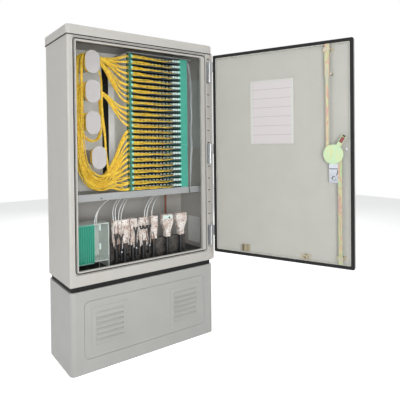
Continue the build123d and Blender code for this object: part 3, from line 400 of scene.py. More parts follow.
# %% Ruled card
def ruled_card(name, bottom_mm, height_mm, rows, line_mm):
    """White card stock in a clear pocket, with thin printed rows."""
    made, tree, output = new_material(name)
    place = object_place(tree)
    height = add_node(tree, "ShaderNodeSeparateXYZ", s0=place).outputs["Z"]
    row_mm = height_mm / rows
    row = add_node(
        tree,
        "ShaderNodeMath",
        {"operation": "MULTIPLY_ADD"},
        s0=height,
        s1=1 / (row_mm * MM),
        s2=-bottom_mm / row_mm + line_mm / row_mm / 2,
    )
    within = add_node(tree, "ShaderNodeMath", {"operation": "FRACT"}, s0=row.outputs[0])
    ink = add_node(
        tree, "ShaderNodeMath", {"operation": "LESS_THAN"}, s0=within.outputs[0], s1=line_mm / row_mm
    )
    principled(
        tree,
        output,
        Base_Color=mixed_colour(tree, ink.outputs[0], "#bfb9ba", "#9c989a"),
        Roughness=0.3,
        Coat_Weight=0.3,
    )
    return made


CARD_BOTTOM = 952
CARD_HEIGHT = 297
record_card_stock = ruled_card("record_card_stock", CARD_BOTTOM, CARD_HEIGHT, 7, 2.0)

# %% [markdown]
# ## Finishes on the CAD parts
# A CAD part keeps its shape and only swaps its material, so this is one table from part to finish.
# The trays share one sea-green, and the names of the rest say what they are made of.

# %% Dress the CAD parts
finishes = {
    shell_composite: [
        "left_side_panel",
        "right_side_panel",
        "back_panel",
        "roof",
        "frame_post_left",
        "frame_post_right",
        "frame_header",
        "frame_sill",
    ],
    plinth_composite: ["plinth", "plinth_front_cover"],
    door_composite: ["door_panel"],
    seal_epdm: ["plinth_seal", "door_seal"],
    black_powder: ["floor_plate"],
    dusty_steel: ["clamp_rail"],
    pale_powder: ["rack_back_plate"],
    grey_powder: ["mid_shelf", "shelf_bracket", "tray_rack"],
    spool_polypropylene: ["winding_spools"],
    cassette_abs: ["splice_cassettes"],
    clear_styrene: ["splice_box"],
    clamp_nylon: ["cable_fixings"],
    black_nylon: ["handle_lever", "cable_glands"],
    yellow_jacket: ["patch_cords"],
    white_tube: ["loose_tubes"],
    bare_steel: ["hinge_fixed_leaves", "hinge_moving_leaves"],
    record_card_stock: ["record_card"],
    yellow_zinc: ["upper_latch_rod", "lower_latch_rod"],
    green_zinc: ["latch_disc"],
    shaded_zinc: ["door_fittings"],
    bright_chrome: ["lock_body", "lock_cam"],
    tray_abs: sorted(name for name in nodes if name.startswith("tray_") and name != "tray_rack"),
}
for finish, names in finishes.items():
    for name in names:
        nodes[name].data.materials.clear()
        nodes[name].data.materials.append(finish)
print("dressed", sum(len(names) for names in finishes.values()), "of", len(nodes))

# %% [markdown]
# ## Thin cords as tubes on a smooth line
# A patch cord is a few millimetres thick and springy, so it lies in long easy curves and never in
# straight runs with corners. Each cord here is a smooth spline led by a handful of points. The curve
# object gives the round section, and converting it at once leaves an ordinary mesh.

# %% Cord helper


def cords_mesh(name, routes, diameter_mm, sides=3, steps=5):
    """One mesh object of many round cords; each route is a list of points in metres."""
    curve = bpy.data.curves.new(name, "CURVE")
    curve.dimensions = "3D"
    curve.bevel_depth = diameter_mm / 2 * MM
    curve.bevel_resolution = sides - 2
    curve.resolution_u = steps
    curve.use_fill_caps = True
    for points in routes:
        spline = curve.splines.new("NURBS")
        spline.points.add(len(points) - 1)
        for point, place in zip(spline.points, points):
            point.co = (*place, 1)
        spline.order_u = 4
        spline.use_endpoint_u = True
    source = bpy.data.objects.new(name + "_line", curve)
    bpy.context.scene.collection.objects.link(source)
    bpy.context.view_layer.update()
    evaluated = source.evaluated_get(bpy.context.evaluated_depsgraph_get())
    mesh = bpy.data.meshes.new_from_object(evaluated)
    bpy.data.objects.remove(source)
    for polygon in mesh.polygons:
        polygon.use_smooth = True
    made = bpy.data.objects.new(name, mesh)
    bpy.context.scene.collection.objects.link(made)
    print(name, "cords", len(routes), "triangles", sum(len(p.vertices) - 2 for p in mesh.polygons))
    return made


def dress(piece, finish, body):
    """Gives a piece its finish, body and material slot."""
    piece.data.materials.clear()
    piece.data.materials.append(finish)
    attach(piece, body)


def laid_lines(name, lines, diameter_mm, finish, sides=3, steps=5):
    """Round lines on the cabinet, given in millimetres."""
    routes = [[Vector(point) * MM for point in line] for line in lines]
    made = cords_mesh(name, routes, diameter_mm, sides, steps)
    dress(made, finish, "cabinet")
    return made


# %% [markdown]
# ## Patch cords in the left bay
# Every tray sends its cords out past its pivot. The low trays' cords drop into a bundle that turns
# under the last spool and climbs the left wall. The high trays' cords run straight to the top
# spools. All of them are slack, so neighbours sag by different amounts and cross each other. They
# end a little left of the trays, clear of the corner that turns past them when a tray swings out.

# %% Patch cord routes
TRAYS = 24
TRAY_PITCH = 26.4
SHELF_TOP = 741.0
TRAY_LEFT = -64.0
CORD_END = -71.0
SPOOL_X = -240.0
SPOOL_TOPS = [1315.0, 1187.0, 1052.0]
CORDS_PER_ROW = 7
PATCH_CORD_MM = 3.4
chance = Random(7)


def row_height(row):
    """Height of the middle of a tray's cords; row 1 is the top tray."""
    return SHELF_TOP + (TRAYS - row) * TRAY_PITCH + 12.0


def loose(x, y, z, spread=4.0):
    """A point moved a little, as slack cords never lie exactly alike."""
    return [
        (x + chance.uniform(-spread, spread)) * MM,
        (y + chance.uniform(-spread, spread)) * MM,
        (z + chance.uniform(-spread, spread)) * MM,
    ]


def trunk_route(row, share):
    """From a spool over its hub, down the left wall, round the bottom and steeply up to a tray."""
    end_z = row_height(row) + chance.uniform(-6, 6)
    climb = (end_z - 750) / 300
    lane = min(1.0, max(0.0, climb + chance.uniform(-0.16, 0.16)))
    left = -309 + 34 * lane
    depth = -84 + 56 * share
    low = 748 + 66 * lane
    spool_z = SPOOL_TOPS[chance.choice((0, 0, 1, 1, 2, 2))]
    return [
        loose(SPOOL_X + 4, depth + 20, spool_z + 40, 3),
        loose(SPOOL_X - 22, depth + 14, spool_z + 44, 4),
        loose(left + 6, depth + 8, spool_z + 30, 3),
        loose(left, depth, spool_z - 40, 3),
        loose(left, depth, max(1000, spool_z - 190), 3),
        loose(left + 2, depth, 950, 3),
        loose(left + 14, depth, 870, 3),
        loose(left + 40, depth, 796 + 44 * lane, 4),
        loose(-226 + 10 * lane, depth, low + 8, 4),
        loose(-184 + 8 * lane, depth - 4, low, 4),
        loose(-150, depth * 0.5 - 40, low + 18 + (end_z - low) * 0.14, 5),
        loose(-112, depth * 0.3 - 58, low + (end_z - low) * 0.62, 5),
        loose(-84, -78, end_z - 6, 3),
        loose(CORD_END, -86, end_z, 1),
    ]


def fan_route(row, pinch_z, fall, share):
    """From a spool's right side through one pinch point, and on in a narrow bundle to a tray."""
    end_z = row_height(row) + chance.uniform(-4, 4)
    start_z = pinch_z + chance.uniform(-7, 7)
    drop = end_z - start_z
    depth = -72 + 22 * share
    return [
        loose(SPOOL_X - 10, depth + 26, start_z + 16, 3),
        loose(-210, depth + 12, start_z + 12, 3),
        loose(-184, depth, start_z + 2, 3),
        loose(-150, depth - 2, start_z + drop * fall - 4, 4),
        loose(-112, depth * 0.7 - 22, start_z + drop * (fall + 0.42) - 5, 4),
        loose(-86, -74, start_z + drop * 0.94 - 2, 3),
        loose(CORD_END, -86, end_z, 1),
    ]


def side_route(row, share):
    """Down the right side of all the spools, into the bottom loop and up to a low tray."""
    end_z = row_height(row) + chance.uniform(-6, 6)
    depth = -70 + 34 * share
    return [
        loose(-226, depth + 20, 1322, 4),
        loose(-198, depth + 8, 1308, 5),
        loose(-187, depth, 1250, 4),
        loose(-188, depth, 1165, 4),
        loose(-184, depth, 1090, 4),
        loose(-176, depth, 1010, 5),
        loose(-172, depth, 930, 5),
        loose(-166, depth, 860, 6),
        loose(-150, depth - 4, 806, 6),
        loose(-118, -80, (790 + end_z) / 2, 5),
        loose(-84, -82, end_z, 3),
        loose(CORD_END, -86, end_z, 1),
    ]


def small_loop_route(share):
    """A short loop under the third spool, from the left wall across to the right bundle."""
    depth = -74 + 30 * share
    return [
        loose(-302, depth, 1130, 3),
        loose(-296, depth, 1070, 3),
        loose(-284, depth, 1016, 4),
        loose(-262, depth, 982, 5),
        loose(-228, depth, 968, 5),
        loose(-202, depth, 982, 5),
        loose(-190, depth, 1024, 4),
        loose(-188, depth, 1090, 3),
        loose(-190, depth + 10, 1160, 3),
    ]


# %% Lay the patch cords
patch_routes = []
for row in range(1, TRAYS + 1):
    for place in range(CORDS_PER_ROW):
        share = (place + chance.random()) / CORDS_PER_ROW
        if row <= 5:
            patch_routes.append(fan_route(row, 1336, 0.20, share))
        elif row <= 9:
            patch_routes.append(fan_route(row, 1322, 0.34, share))
        elif row <= 13:
            patch_routes.append(fan_route(row, 1187, 0.26, share))
        elif place == 0 and row >= 16:
            patch_routes.append(side_route(row, share))
        else:
            patch_routes.append(trunk_route(row, share))
for place in range(9):
    patch_routes.append(small_loop_route(place / 9))
patch_cord_strands = cords_mesh("patch_cord_strands", patch_routes, PATCH_CORD_MM)

# %% [markdown]
# ## Turns round the spools
# The slack is taken up in turns round each spool's hub. They show between the flange and the plate
# from the side. A closed loop of cord follows the hub's rounded outline at a few depths.

# %% Spool turns
HUB_HALF_WIDTH = 17.0
HUB_HALF_STRAIGHT = 16.0


def hub_loop(centre_x, centre_z, depth, layer):
    """Points round a hub, a little outside it."""
    reach = HUB_HALF_WIDTH + 2.4 + layer * 3.6
    points = []
    for step in range(21):
        angle = step / 20 * 2 * pi + 0.4
        straight = HUB_HALF_STRAIGHT if sin(angle) > 0 else -HUB_HALF_STRAIGHT
        points.append(
            Vector((
                centre_x + reach * 1.04 * cos(angle),
                depth + 1.6 * sin(angle + layer),
                centre_z + straight + reach * 1.04 * sin(angle),
            ))
            * MM
        )
    return points


spool_turns = []
for centre_x, centre_z in ((-240, 1315), (-240, 1187), (-240, 1052), (-215, 900)):
    for turn in range(9):
        for layer in range(2):
            spool_turns.append(hub_loop(centre_x, centre_z, -89 + turn * 4.2, layer))
spool_cords = cords_mesh("spool_cords", spool_turns, PATCH_CORD_MM)
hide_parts("patch_cords")
dress(patch_cord_strands, yellow_jacket, "cabinet")
dress(spool_cords, yellow_jacket, "cabinet")

# %% [markdown]
# ## A connector, once, and then twelve to a tray
# Every adapter holds a small connector with a pale sleeve and a dark tapering boot. It repeats some three
# hundred times, so it is modelled once with a few dozen faces, and a node tree sets it out along the
# tray: a line of points, a turn that matches the adapters, and real faces at the end.

# %% Connector parts
ADAPTERS = 12
ADAPTER_PITCH = 20.2
ADAPTER_FIRST_X = -26.0
ADAPTER_MIDDLE_Y = -64.0
ADAPTER_TURN = radians(-32)
CONNECTOR_RISE = 14.0


def turned_section(name, rings):
    """A closed bar along -Y made of rectangular rings: (distance, half width, half height, lift)."""
    shape = bmesh.new()
    loops = []
    for distance, half_width, half_height, lift in rings:
        corners = [(-1, -1), (1, -1), (1, 1), (-1, 1)]
        loops.append(
            [
                shape.verts.new(Vector((sx * half_width, -distance, lift + sz * half_height)) * MM)
                for sx, sz in corners
            ]
        )
    for near, far in zip(loops[:-1], loops[1:]):
        for i in range(4):
            j = (i + 1) % 4
            shape.faces.new((near[i], near[j], far[j], far[i]))
    shape.faces.new(loops[0][::-1])
    shape.faces.new(loops[-1])
    bmesh.ops.recalc_face_normals(shape, faces=shape.faces)
    mesh = bpy.data.meshes.new(name)
    shape.to_mesh(mesh)
    shape.free()
    made = bpy.data.objects.new(name, mesh)
    bpy.context.scene.collection.objects.link(made)
    return made


connector_form = turned_section(
    "connector_form",
    [(7, 4.4, 5.0, 0), (14, 4.4, 5.0, 0), (14.6, 3.6, 4.2, 0), (17, 3.6, 4.2, 0)],
)
boot_form = turned_section(
    "boot_form",
    [(17, 2.6, 2.6, 0), (19, 2.8, 2.8, 0), (23, 1.9, 1.9, -0.5), (26, 1.4, 1.4, -1.5)],
)


# %% Row tree
def row_tree(name, form, finish):
    """A node tree that repeats a form along X with a turn about Z."""
    tree = bpy.data.node_groups.new(name, "GeometryNodeTree")
    face = tree.interface
    face.new_socket("Geometry", in_out="OUTPUT", socket_type="NodeSocketGeometry")
    count = face.new_socket("Count", in_out="INPUT", socket_type="NodeSocketInt")
    start = face.new_socket("Start", in_out="INPUT", socket_type="NodeSocketVector")
    pitch = face.new_socket("Pitch", in_out="INPUT", socket_type="NodeSocketVector")
    turn = face.new_socket("Turn", in_out="INPUT", socket_type="NodeSocketVector")
    given = tree.nodes.new("NodeGroupInput")
    result = tree.nodes.new("NodeGroupOutput")
    line = add_node(
        tree,
        "GeometryNodeMeshLine",
        {"mode": "OFFSET"},
        Count=given.outputs["Count"],
        Start_Location=given.outputs["Start"],
        Offset=given.outputs["Pitch"],
    )
    shape = add_node(tree, "GeometryNodeObjectInfo", Object=form)
    placed = add_node(
        tree,
        "GeometryNodeInstanceOnPoints",
        Points=line.outputs[0],
        Instance=shape.outputs["Geometry"],
        Rotation=given.outputs["Turn"],
    )
    real = add_node(tree, "GeometryNodeRealizeInstances", s0=placed.outputs[0])
    coloured = add_node(tree, "GeometryNodeSetMaterial", Geometry=real.outputs[0], Material=finish)
    tree.links.new(coloured.outputs[0], result.inputs[0])
    return tree, {"count": count, "start": start, "pitch": pitch, "turn": turn}


def row_of(name, tree, sockets, **values):
    """Runs a row tree once and returns its result as a plain mesh object."""
    holder = bpy.data.objects.new(name, bpy.data.meshes.new(name))
    bpy.context.scene.collection.objects.link(holder)
    modifier = holder.modifiers.new("row", "NODES")
    modifier.node_group = tree
    for key, value in values.items():
        modifier[sockets[key].identifier] = value
    bpy.context.view_layer.update()
    evaluated = holder.evaluated_get(bpy.context.evaluated_depsgraph_get())
    mesh = bpy.data.meshes.new_from_object(evaluated)
    holder.modifiers.remove(modifier)
    holder.data = mesh
    return holder


connector_row = row_tree("connector_row", connector_form, connector_abs)
boot_row = row_tree("boot_row", boot_form, boot_rubber)

# %% Guide clips at the pivot and the handle
clip_form = turned_section(
    "clip_form",
    [(0, 3.6, 4.6, 0), (1.5, 4.4, 5.4, 0), (5, 4.4, 5.4, 0), (6, 3.4, 4.4, 0)],
)
end_form = turned_section("end_form", [(0, 4.2, 5.2, 0), (9, 4.2, 5.2, 0), (11, 3.0, 3.6, 0)])
clip_row = row_tree("clip_row", clip_form, clip_abs)
end_row = row_tree("end_row", end_form, connector_abs)

# %% [markdown]
# ## Cords on the trays
# From each boot a cord bends to the left and runs behind the tray's front lip to the pivot, where it
# can flex as the tray swings out. The first cord to join lies lowest, and each later one on top, so
# the bundle grows towards the pivot. Each tray's cords are one piece that rides on that tray.

# %% Cord routes on a tray
TRAY_CORD_MM = 2.0
LANE_Y = -91.5
LANE_Z = 5.2


def tray_cord_routes(bottom):
    """Twelve routes from the boots along the tray's front to its pivot, heights in millimetres."""
    routes = []
    for adapter in range(ADAPTERS):
        x = ADAPTER_FIRST_X + adapter * ADAPTER_PITCH
        mouth_x = x + sin(ADAPTER_TURN) * 25
        mouth_y = ADAPTER_MIDDLE_Y - cos(ADAPTER_TURN) * 25
        joined = ADAPTERS - 1 - adapter
        lane_y = LANE_Y - 2.4 * (joined % 3) + chance.uniform(-0.7, 0.7)
        lane_z = bottom + LANE_Z + 4.2 * (joined // 3) + chance.uniform(-1.4, 1.4)
        mouth_z = bottom + CONNECTOR_RISE
        points = [
            (mouth_x + 2, mouth_y + 4, mouth_z),
            (mouth_x - 4, mouth_y - 3, mouth_z),
            (mouth_x - 13, lane_y + 0.5, (mouth_z + 2 * lane_z) / 3),
        ]
        reach = mouth_x - 30
        while reach > TRAY_LEFT + 22:
            sag = max(bottom + 2.4, lane_z + chance.uniform(-4.0, 4.2))
            points.append((reach, lane_y + chance.uniform(-1, 1), sag))
            reach -= 29
        points.append((TRAY_LEFT + 8, lane_y + 4, lane_z))
        points.append((TRAY_LEFT - 2, lane_y + 10, lane_z))
        routes.append([Vector(p) * MM for p in points])
    return routes


# %% Dress every tray
tray_pieces = 0
for row in range(1, TRAYS + 1):
    body = f"tray_{row:02d}"
    bottom = SHELF_TOP + 0.4 + (TRAYS - row) * TRAY_PITCH
    place = {
        "count": ADAPTERS,
        "start": Vector((ADAPTER_FIRST_X, ADAPTER_MIDDLE_Y, bottom + CONNECTOR_RISE)) * MM,
        "pitch": Vector((ADAPTER_PITCH, 0, 0)) * MM,
        "turn": Vector((0, 0, ADAPTER_TURN)),
    }
    connectors = row_of(f"{body}_connectors", *connector_row, **place)
    boots = row_of(f"{body}_boots", *boot_row, **place)
    clips = row_of(
        f"{body}_clips",
        *clip_row,
        count=2,
        start=Vector((TRAY_LEFT + 12, -93.0, bottom + 13)) * MM,
        pitch=Vector((261, 0, 0)) * MM,
        turn=Vector((0, 0, 0)),
    )
    ends = row_of(
        f"{body}_end_plugs",
        *end_row,
        count=3,
        start=Vector((176, -84.0, bottom + 13)) * MM,
        pitch=Vector((13, -1, 0)) * MM,
        turn=Vector((0, 0, 0)),
    )
    cords = cords_mesh(f"{body}_cords", tray_cord_routes(bottom), TRAY_CORD_MM)
    for piece, finish in (
        (clips, clip_abs), (ends, connector_abs), (connectors, connector_abs), (boots, boot_rubber)
    ):
        dress(piece, finish, body)
    dress(cords, yellow_jacket, body)
    tray_pieces += 5
for form in (connector_form, boot_form, clip_form, end_form):
    bpy.data.objects.remove(form)
print("tray pieces", tray_pieces)

# %% [markdown]
# ## Splice cassettes
# Each cassette is a thin case with a lighter strip on its front edge, which is a painted highlight,
# and a comb above and below keeps them upright. Highlight strips and comb teeth repeat along one
# line, so the row tree from above makes them too.

# %% Cassette highlight strips and combs
CASSETTES = 8
CASSETTE_PITCH = 9.6
CASSETTE_LEFT = -312.7
CASSETTE_FRONT = -86.0
CASSETTE_Z = (444.0, 604.7)


def upright_form(name, width, depth, height):
    """A small upright bar with its front corners taken off."""
    half = height / 2
    return turned_section(
        name, [(0, width / 2, half, 0), (depth * 0.7, width / 2, half, 0), (depth, width / 4, half - 1, 0)]
    )


def upright_row(name, form, finish, start, count=1, pitch=(1, 0, 0)):
    """One form or a row of it on the cabinet, dressed, with the form removed afterwards."""
    made = row_of(
        name,
        *row_tree(name, form, finish),
        count=count,
        start=Vector(start) * MM,
        pitch=Vector(pitch) * MM,
        turn=Vector((0, 0, 0)),
    )
    dress(made, finish, "cabinet")
    bpy.data.objects.remove(form)


# A lighter teal strip on each cassette's front edge is a painted highlight.
rim_form = upright_form("rim_form", 2.0, 1.6, CASSETTE_Z[1] - CASSETTE_Z[0] - 4)
middle_z = sum(CASSETTE_Z) / 2
highlight_start = (CASSETTE_LEFT + 7.4, CASSETTE_FRONT + 0.2, middle_z)
upright_row("cassette_rims", rim_form, cassette_highlight_abs, highlight_start, CASSETTES, (CASSETTE_PITCH, 0, 0))
for level, comb_z in (("upper", CASSETTE_Z[1] + 1.5), ("lower", CASSETTE_Z[0] - 3.5)):
    tooth = upright_form("comb_tooth", 2.6, 7.0, 6.0)
    tooth_start = (CASSETTE_LEFT - 1, CASSETTE_FRONT + 5.5, comb_z)
    tooth_pitch = (CASSETTE_PITCH / 2, 0, 0)
    upright_row(f"cassette_comb_{level}", tooth, comb_abs, tooth_start, 2 * CASSETTES, tooth_pitch)
post = upright_form("box_post", 2.5, 4.0, 198.0)
upright_row("splice_box_post", post, grey_powder, (-205, -57, 508))
clip = upright_form("box_clip", 9.0, 12.0, 26.0)
upright_row("splice_box_clips", clip, connector_abs, (-205, -60, 589), 2, (0, 0, -84))

# %% [markdown]
# ## Loose tubes
# From the cable heads, white tubes with the bare fibres in them rise in pairs and lean towards the
# slots in the shelf. Each is a springy arc, straight where it leaves its head and bent more and more
# towards the slot.

# %% Tube routes
TUBE_LINES = [
    [
        (-226, -60, 604), (-224, -56, 630), (-206, -44, 660),
        (-176, -28, 684), (-134, -12, 704), (-89, 0, 722),
    ],
    [(-218, -60, 604), (-216, -54, 636), (-198, -40, 668), (-166, -24, 690), (-126, -8, 706), (-84, 4, 722)],
    [(-140, -71, 608), (-144, -66, 640), (-132, -50, 668), (-110, -30, 690), (-84, -10, 708), (-60, 6, 722)],
    [(-128, -71, 608), (-132, -66, 636), (-122, -50, 664), (-98, -30, 688), (-68, -8, 708), (-44, 6, 722)],
    [(-116, -71, 608), (-114, -66, 638), (-98, -50, 666), (-72, -28, 690), (-42, -8, 708), (-16, 6, 722)],
    [(-104, -71, 608), (-100, -64, 636), (-82, -48, 664), (-56, -26, 690), (-26, -6, 708), (4, 6, 722)],
    [(18, -71, 608), (20, -66, 634), (36, -52, 660), (64, -32, 684), (104, -10, 704), (146, 2, 720)],
    [(30, -71, 608), (34, -66, 634), (52, -50, 662), (82, -30, 686), (120, -10, 706), (158, 4, 722)],
    [(58, -71, 608), (60, -66, 636), (78, -50, 664), (106, -30, 688), (142, -10, 706), (178, 4, 722)],
]
tubes = laid_lines("loose_tube_strands", TUBE_LINES, 4.2, white_tube, sides=4, steps=8)
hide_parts("loose_tubes")

# %% [markdown]
# ## Straps and cables in the lower bay
# Each cable head is tied to the rail with a black strap that forks at the top. Behind the heads one
# brown cable climbs to the shelf, and black cables lie on the floor.

# %% Straps and cables
FIXING_FRONT = -86.5


def forked_strap(x, low, fork, top, reach):
    """Three short lines that make a strap with a forked top."""
    front = FIXING_FRONT - 2.5
    lines = [[(x + 2, front, low), (x + 1, front, (low + fork) / 2), (x, front, fork)]]
    for side in (-reach, reach):
        lines.append([(x, front, fork - 6), (x + side * 0.6, front, fork + 8), (x + side, front, top)])
    return lines


strap_lines = []
STRAPS = [(-137, 424, 528, 556), (-113, 428, 526, 550), (-39, 436, 546, 574), (31, 444, 548, 576)]
for x, low, fork, top in STRAPS:
    strap_lines += forked_strap(x, low, fork, top, 8)
for x in (-6, 12):
    strap_lines.append([
        (x - 8, FIXING_FRONT, 576),
        (x - 7, FIXING_FRONT, 556),
        (x + 7, FIXING_FRONT, 556),
        (x + 8, FIXING_FRONT, 576),
    ])
floor_lines = []
for cable in range(5):
    left = -150 + 62 * cable
    floor_lines.append([
        (left, -96 - 6 * (cable % 3), 412),
        (left + 40, -104 + 5 * (cable % 2), 413),
        (left + 90, -98, 412),
    ])


laid_lines("fixing_straps", strap_lines, 8.6, black_nylon, steps=4)
laid_lines("floor_cables", floor_lines, 8.0, black_nylon, sides=4)
riser = [(213, 56, 408), (213, 56, 500), (213, 57, 600), (214, 57, 660), (213, 56, 711)]
laid_lines("brown_riser", [riser], 10.0, brown_sheath, sides=4)

# %% Filaments and tape on the heads
FILAMENTS = 150
FILAMENT_TOP = 616
BROWN_SHARE = 0.22
filaments = {"pale": [], "brown": []}
for _ in range(FILAMENTS):
    x = chance.uniform(-152, 62)
    low = chance.uniform(478, 560)
    high = min(FILAMENT_TOP, low + chance.uniform(34, 80))
    kind = "brown" if chance.random() < BROWN_SHARE else "pale"
    y = FIXING_FRONT + chance.uniform(-2.5, 12)
    filaments[kind].append([
        loose(x, y, low, 2),
        loose(x + chance.uniform(-7, 7), y - 1, low + (high - low) * 0.35, 2),
        loose(x + chance.uniform(-7, 7), y, low + (high - low) * 0.7, 2),
        loose(x + chance.uniform(-9, 9), y + 2, high, 2),
    ])
pale_filaments = cords_mesh("pale_filaments", filaments["pale"], 4.4, steps=3)
brown_filaments = cords_mesh("brown_filaments", filaments["brown"], 3.0, steps=3)
dress(pale_filaments, clamp_nylon, "cabinet")
dress(brown_filaments, tan_tape, "cabinet")
SCREWS = [(-112, 470), (-38, 478), (32, 480)]
screw_lines = [[(x, FIXING_FRONT - 4, z), (x, FIXING_FRONT - 8, z)] for x, z in SCREWS]
laid_lines("tie_screws", screw_lines, 8.0, bright_chrome, sides=5)
cap = upright_form("funnel_cap", 52.0, 4.0, 17.0)
upright_row("funnel_cap", cap, connector_abs, (140, -83.8, 600))
plug_line = [(146, -88, 598), (146, -89.5, 598)]
laid_lines("funnel_cap_plug", [plug_line], 9.0, black_nylon, sides=5)

# %% [markdown]
# ## Panels inside the cabinet
# A pale steel plate closes the left side of the tray rack, and two liners cover the right wall, one
# beside the trays and one in the lower bay. Each is a flat bar with its corners taken off, so the
# same upright form does for all three.

# %% Inner panels
LINER_X = 362.1
side_plate = upright_form("rack_side_plate", 1.5, 128.0, 637.0)
upright_row("rack_side_plate", side_plate, pale_powder, (-65.9, 64, 1059.5))
liner = upright_form("upper_liner", 3.0, 190.0, 358.0)
upright_row("upper_liner", liner, liner_sheet, (LINER_X, 120, 1114))
lower = upright_form("lower_liner", 3.0, 104.0, 135.0)
upright_row("lower_liner", lower, pale_powder, (LINER_X, 62, 500))

# %% Thin wires beside the trays
# The tray's rear corner turns on a radius of 345 mm about the pivot, and the wires stay outside it.
wire_lines = []
for wire in range(6):
    out = 4 * (wire % 3)
    wire_lines.append([
        loose(281, -30 - 5 * wire, 1377, 0.5),
        loose(292, -40 - 3 * wire, 1376, 0.5),
        loose(297 + out, -52, 1330, 2),
        loose(299 + out, -54, 1270, 3),
        loose(305 + out, -56, 1215, 3),
        loose(297 + out, -54, 1160, 3),
        loose(306 + out, -56, 1100, 3),
        loose(298 + out, -54, 1030, 3),
        loose(304 + out, -56, 950, 3),
        loose(297 + out, -54, 860, 2.5),
        loose(296, -54, 741, 0.5),
    ])
hanging_wires = cords_mesh("hanging_wires", wire_lines, 2.2)
dress(hanging_wires, wire_grey, "cabinet")

# %% [markdown]
# ## Brush in the cable slot
# The slot in the rear plate is closed by a black brush, so that cables can pass and dust can't. Each
# tuft is one small bar, set out by the row tree from the bottom of the slot to the top.

# %% Slot brush
SLOT_X = (-128.0, -98.0)
SLOT_Z = (776.0, 1368.0)
TUFT_PITCH = 3.2
tuft = upright_form("brush_tuft", SLOT_X[1] - SLOT_X[0] + 4, 3.0, 2.7)
tufts = int((SLOT_Z[1] - SLOT_Z[0]) / TUFT_PITCH)
brush_start = ((SLOT_X[0] + SLOT_X[1]) / 2, 70.8, SLOT_Z[0])
upright_row("slot_brush", tuft, seal_epdm, brush_start, tufts, (0, 0, TUFT_PITCH))

# %% [markdown]
# ## Rubber in the drip groove, and painted shadow under the roof
# A thin rubber bead lies in the groove round the door opening. It is a tube whose points stand close
# together at the corners, which keeps those tight. Under the rim of the roof four straight black strips
# paint the shadow along the joint; they come from a bar with softened edges that the door's parts use too.

# %% Soft bar
WORLD = Matrix.Identity(4)


def soft_bar(name, spans, finish, body, turn=WORLD):
    """A bar with softened edges between two values on each of three axes, in mm."""
    shape = bmesh.new()
    bmesh.ops.create_cube(shape, size=1.0)
    for vert in shape.verts:
        local = [(low + high) / 2 + vert.co[axis] * (high - low) for axis, (low, high) in enumerate(spans)]
        vert.co = turn @ (Vector(local) * MM)
    softness = min(high - low for low, high in spans) * 0.25 * MM
    bmesh.ops.bevel(shape, geom=shape.edges[:], offset=softness, segments=2, affect="EDGES")
    bmesh.ops.recalc_face_normals(shape, faces=shape.faces)
    mesh = bpy.data.meshes.new(name)
    shape.to_mesh(mesh)
    shape.free()
    made = bpy.data.objects.new(name, mesh)
    bpy.context.scene.collection.objects.link(made)
    dress(made, finish, body)
    return made


# %% Rubber bead and painted roof shadow
GROOVE_Y = -139.5
groove_path = [
    (-340.5, 440), (-340.5, 900), (-340.5, 1380), (-340.5, 1392), (-332, 1396.5), (-320, 1396.5),
    (0, 1396.5), (310, 1396.5), (322, 1396.5), (329.5, 1392), (329.5, 1380), (329.5, 900),
    (329.5, 440), (329.5, 428), (324, 420.5), (310, 420.5), (0, 420.5), (-320, 420.5),
    (-334, 420.5), (-340.5, 428), (-340.5, 440),
]
groove_line = [(x, GROOVE_Y, z) for x, z in groove_path]
laid_lines("groove_bead", [groove_line], 4.0, seal_epdm, steps=6)
# The black strips under the roof's rim are a painted shadow along the joint.
ROOF_SHADOW_Z = (1406.6, 1410.6)
roof_shadow_strips = {
    "front": ((-369.8, 369.8), (-145.8, -143.0)),
    "back": ((-369.8, 369.8), (143.0, 145.8)),
    "left": ((-369.8, -367.0), (-143.4, 143.4)),
    "right": ((367.0, 369.8), (-143.4, 143.4)),
}
for side, (across, depth) in roof_shadow_strips.items():
    soft_bar(f"roof_bead_{side}", (across, depth, ROOF_SHADOW_Z), seal_epdm, "cabinet")

# %% [markdown]
# ## Painted shadows in the hinge land
# The land beside the hinges is a ladder of shallow pockets, and a dark bar at the top of each is a
# painted shadow under the pocket's upper edge. A moulded bead runs down the outer corner and closes
# the gap towards the open door.

# %% Land pocket shadows
LAND_X = 350.25
LAND_FIRST_Z = 483.0
LAND_PITCH = 60.0
LAND_SHADOWS = 16
land_start = (LAND_X, -139.4, LAND_FIRST_Z)
# Dark bars at the pockets' tops are painted shadow under each upper edge.
pocket_shadow_form = upright_form("land_slot", 15.0, 4.6, 3.4)
upright_row("land_slots", pocket_shadow_form, seal_epdm, land_start, LAND_SHADOWS, (0, 0, LAND_PITCH))
bead = upright_form("hinge_side_bead", 11.0, 14.0, 1036.0)
upright_row("hinge_side_bead", bead, shell_composite, (373, -129.5, 891))

# %% [markdown]
# ## Small parts on the door
# The card sits in a clear holder with a raised rim. The tongue of the latch is dipped in rose
# lacquer, the lock shows its cylinder and a slot, and a screw with a washer stands beside the disc.
# Flat bars and lines are written in the door's own directions and turned into place by its matrix.

# %% Door lines


def door_lines(name, lines, diameter_mm, finish, body):
    """Round lines whose points are (along, height, inwards) in mm."""
    placed = [[door_frame @ (Vector(point) * MM) for point in line] for line in lines]
    made = cords_mesh(name, placed, diameter_mm, sides=4)
    dress(made, finish, body)
    return made


CARD_S = (201.5, 414.5)
CARD_FACE = -6.4
card_top = CARD_BOTTOM + CARD_HEIGHT
card_rims = {
    "left": (CARD_S[0], CARD_S[0] + 12, CARD_BOTTOM, card_top),
    "right": (CARD_S[1] - 12, CARD_S[1], CARD_BOTTOM, card_top),
    "top": (CARD_S[0] + 12, CARD_S[1] - 12, card_top - 6, card_top),
    "bottom": (CARD_S[0] + 12, CARD_S[1] - 12, CARD_BOTTOM, CARD_BOTTOM + 4),
}
for side, (s0, s1, z0, z1) in card_rims.items():
    spans = ((s0, s1), (z0, z1), (CARD_FACE, CARD_FACE + 1.6))
    soft_bar(f"card_rim_{side}", spans, card_sleeve, "door", door_frame)

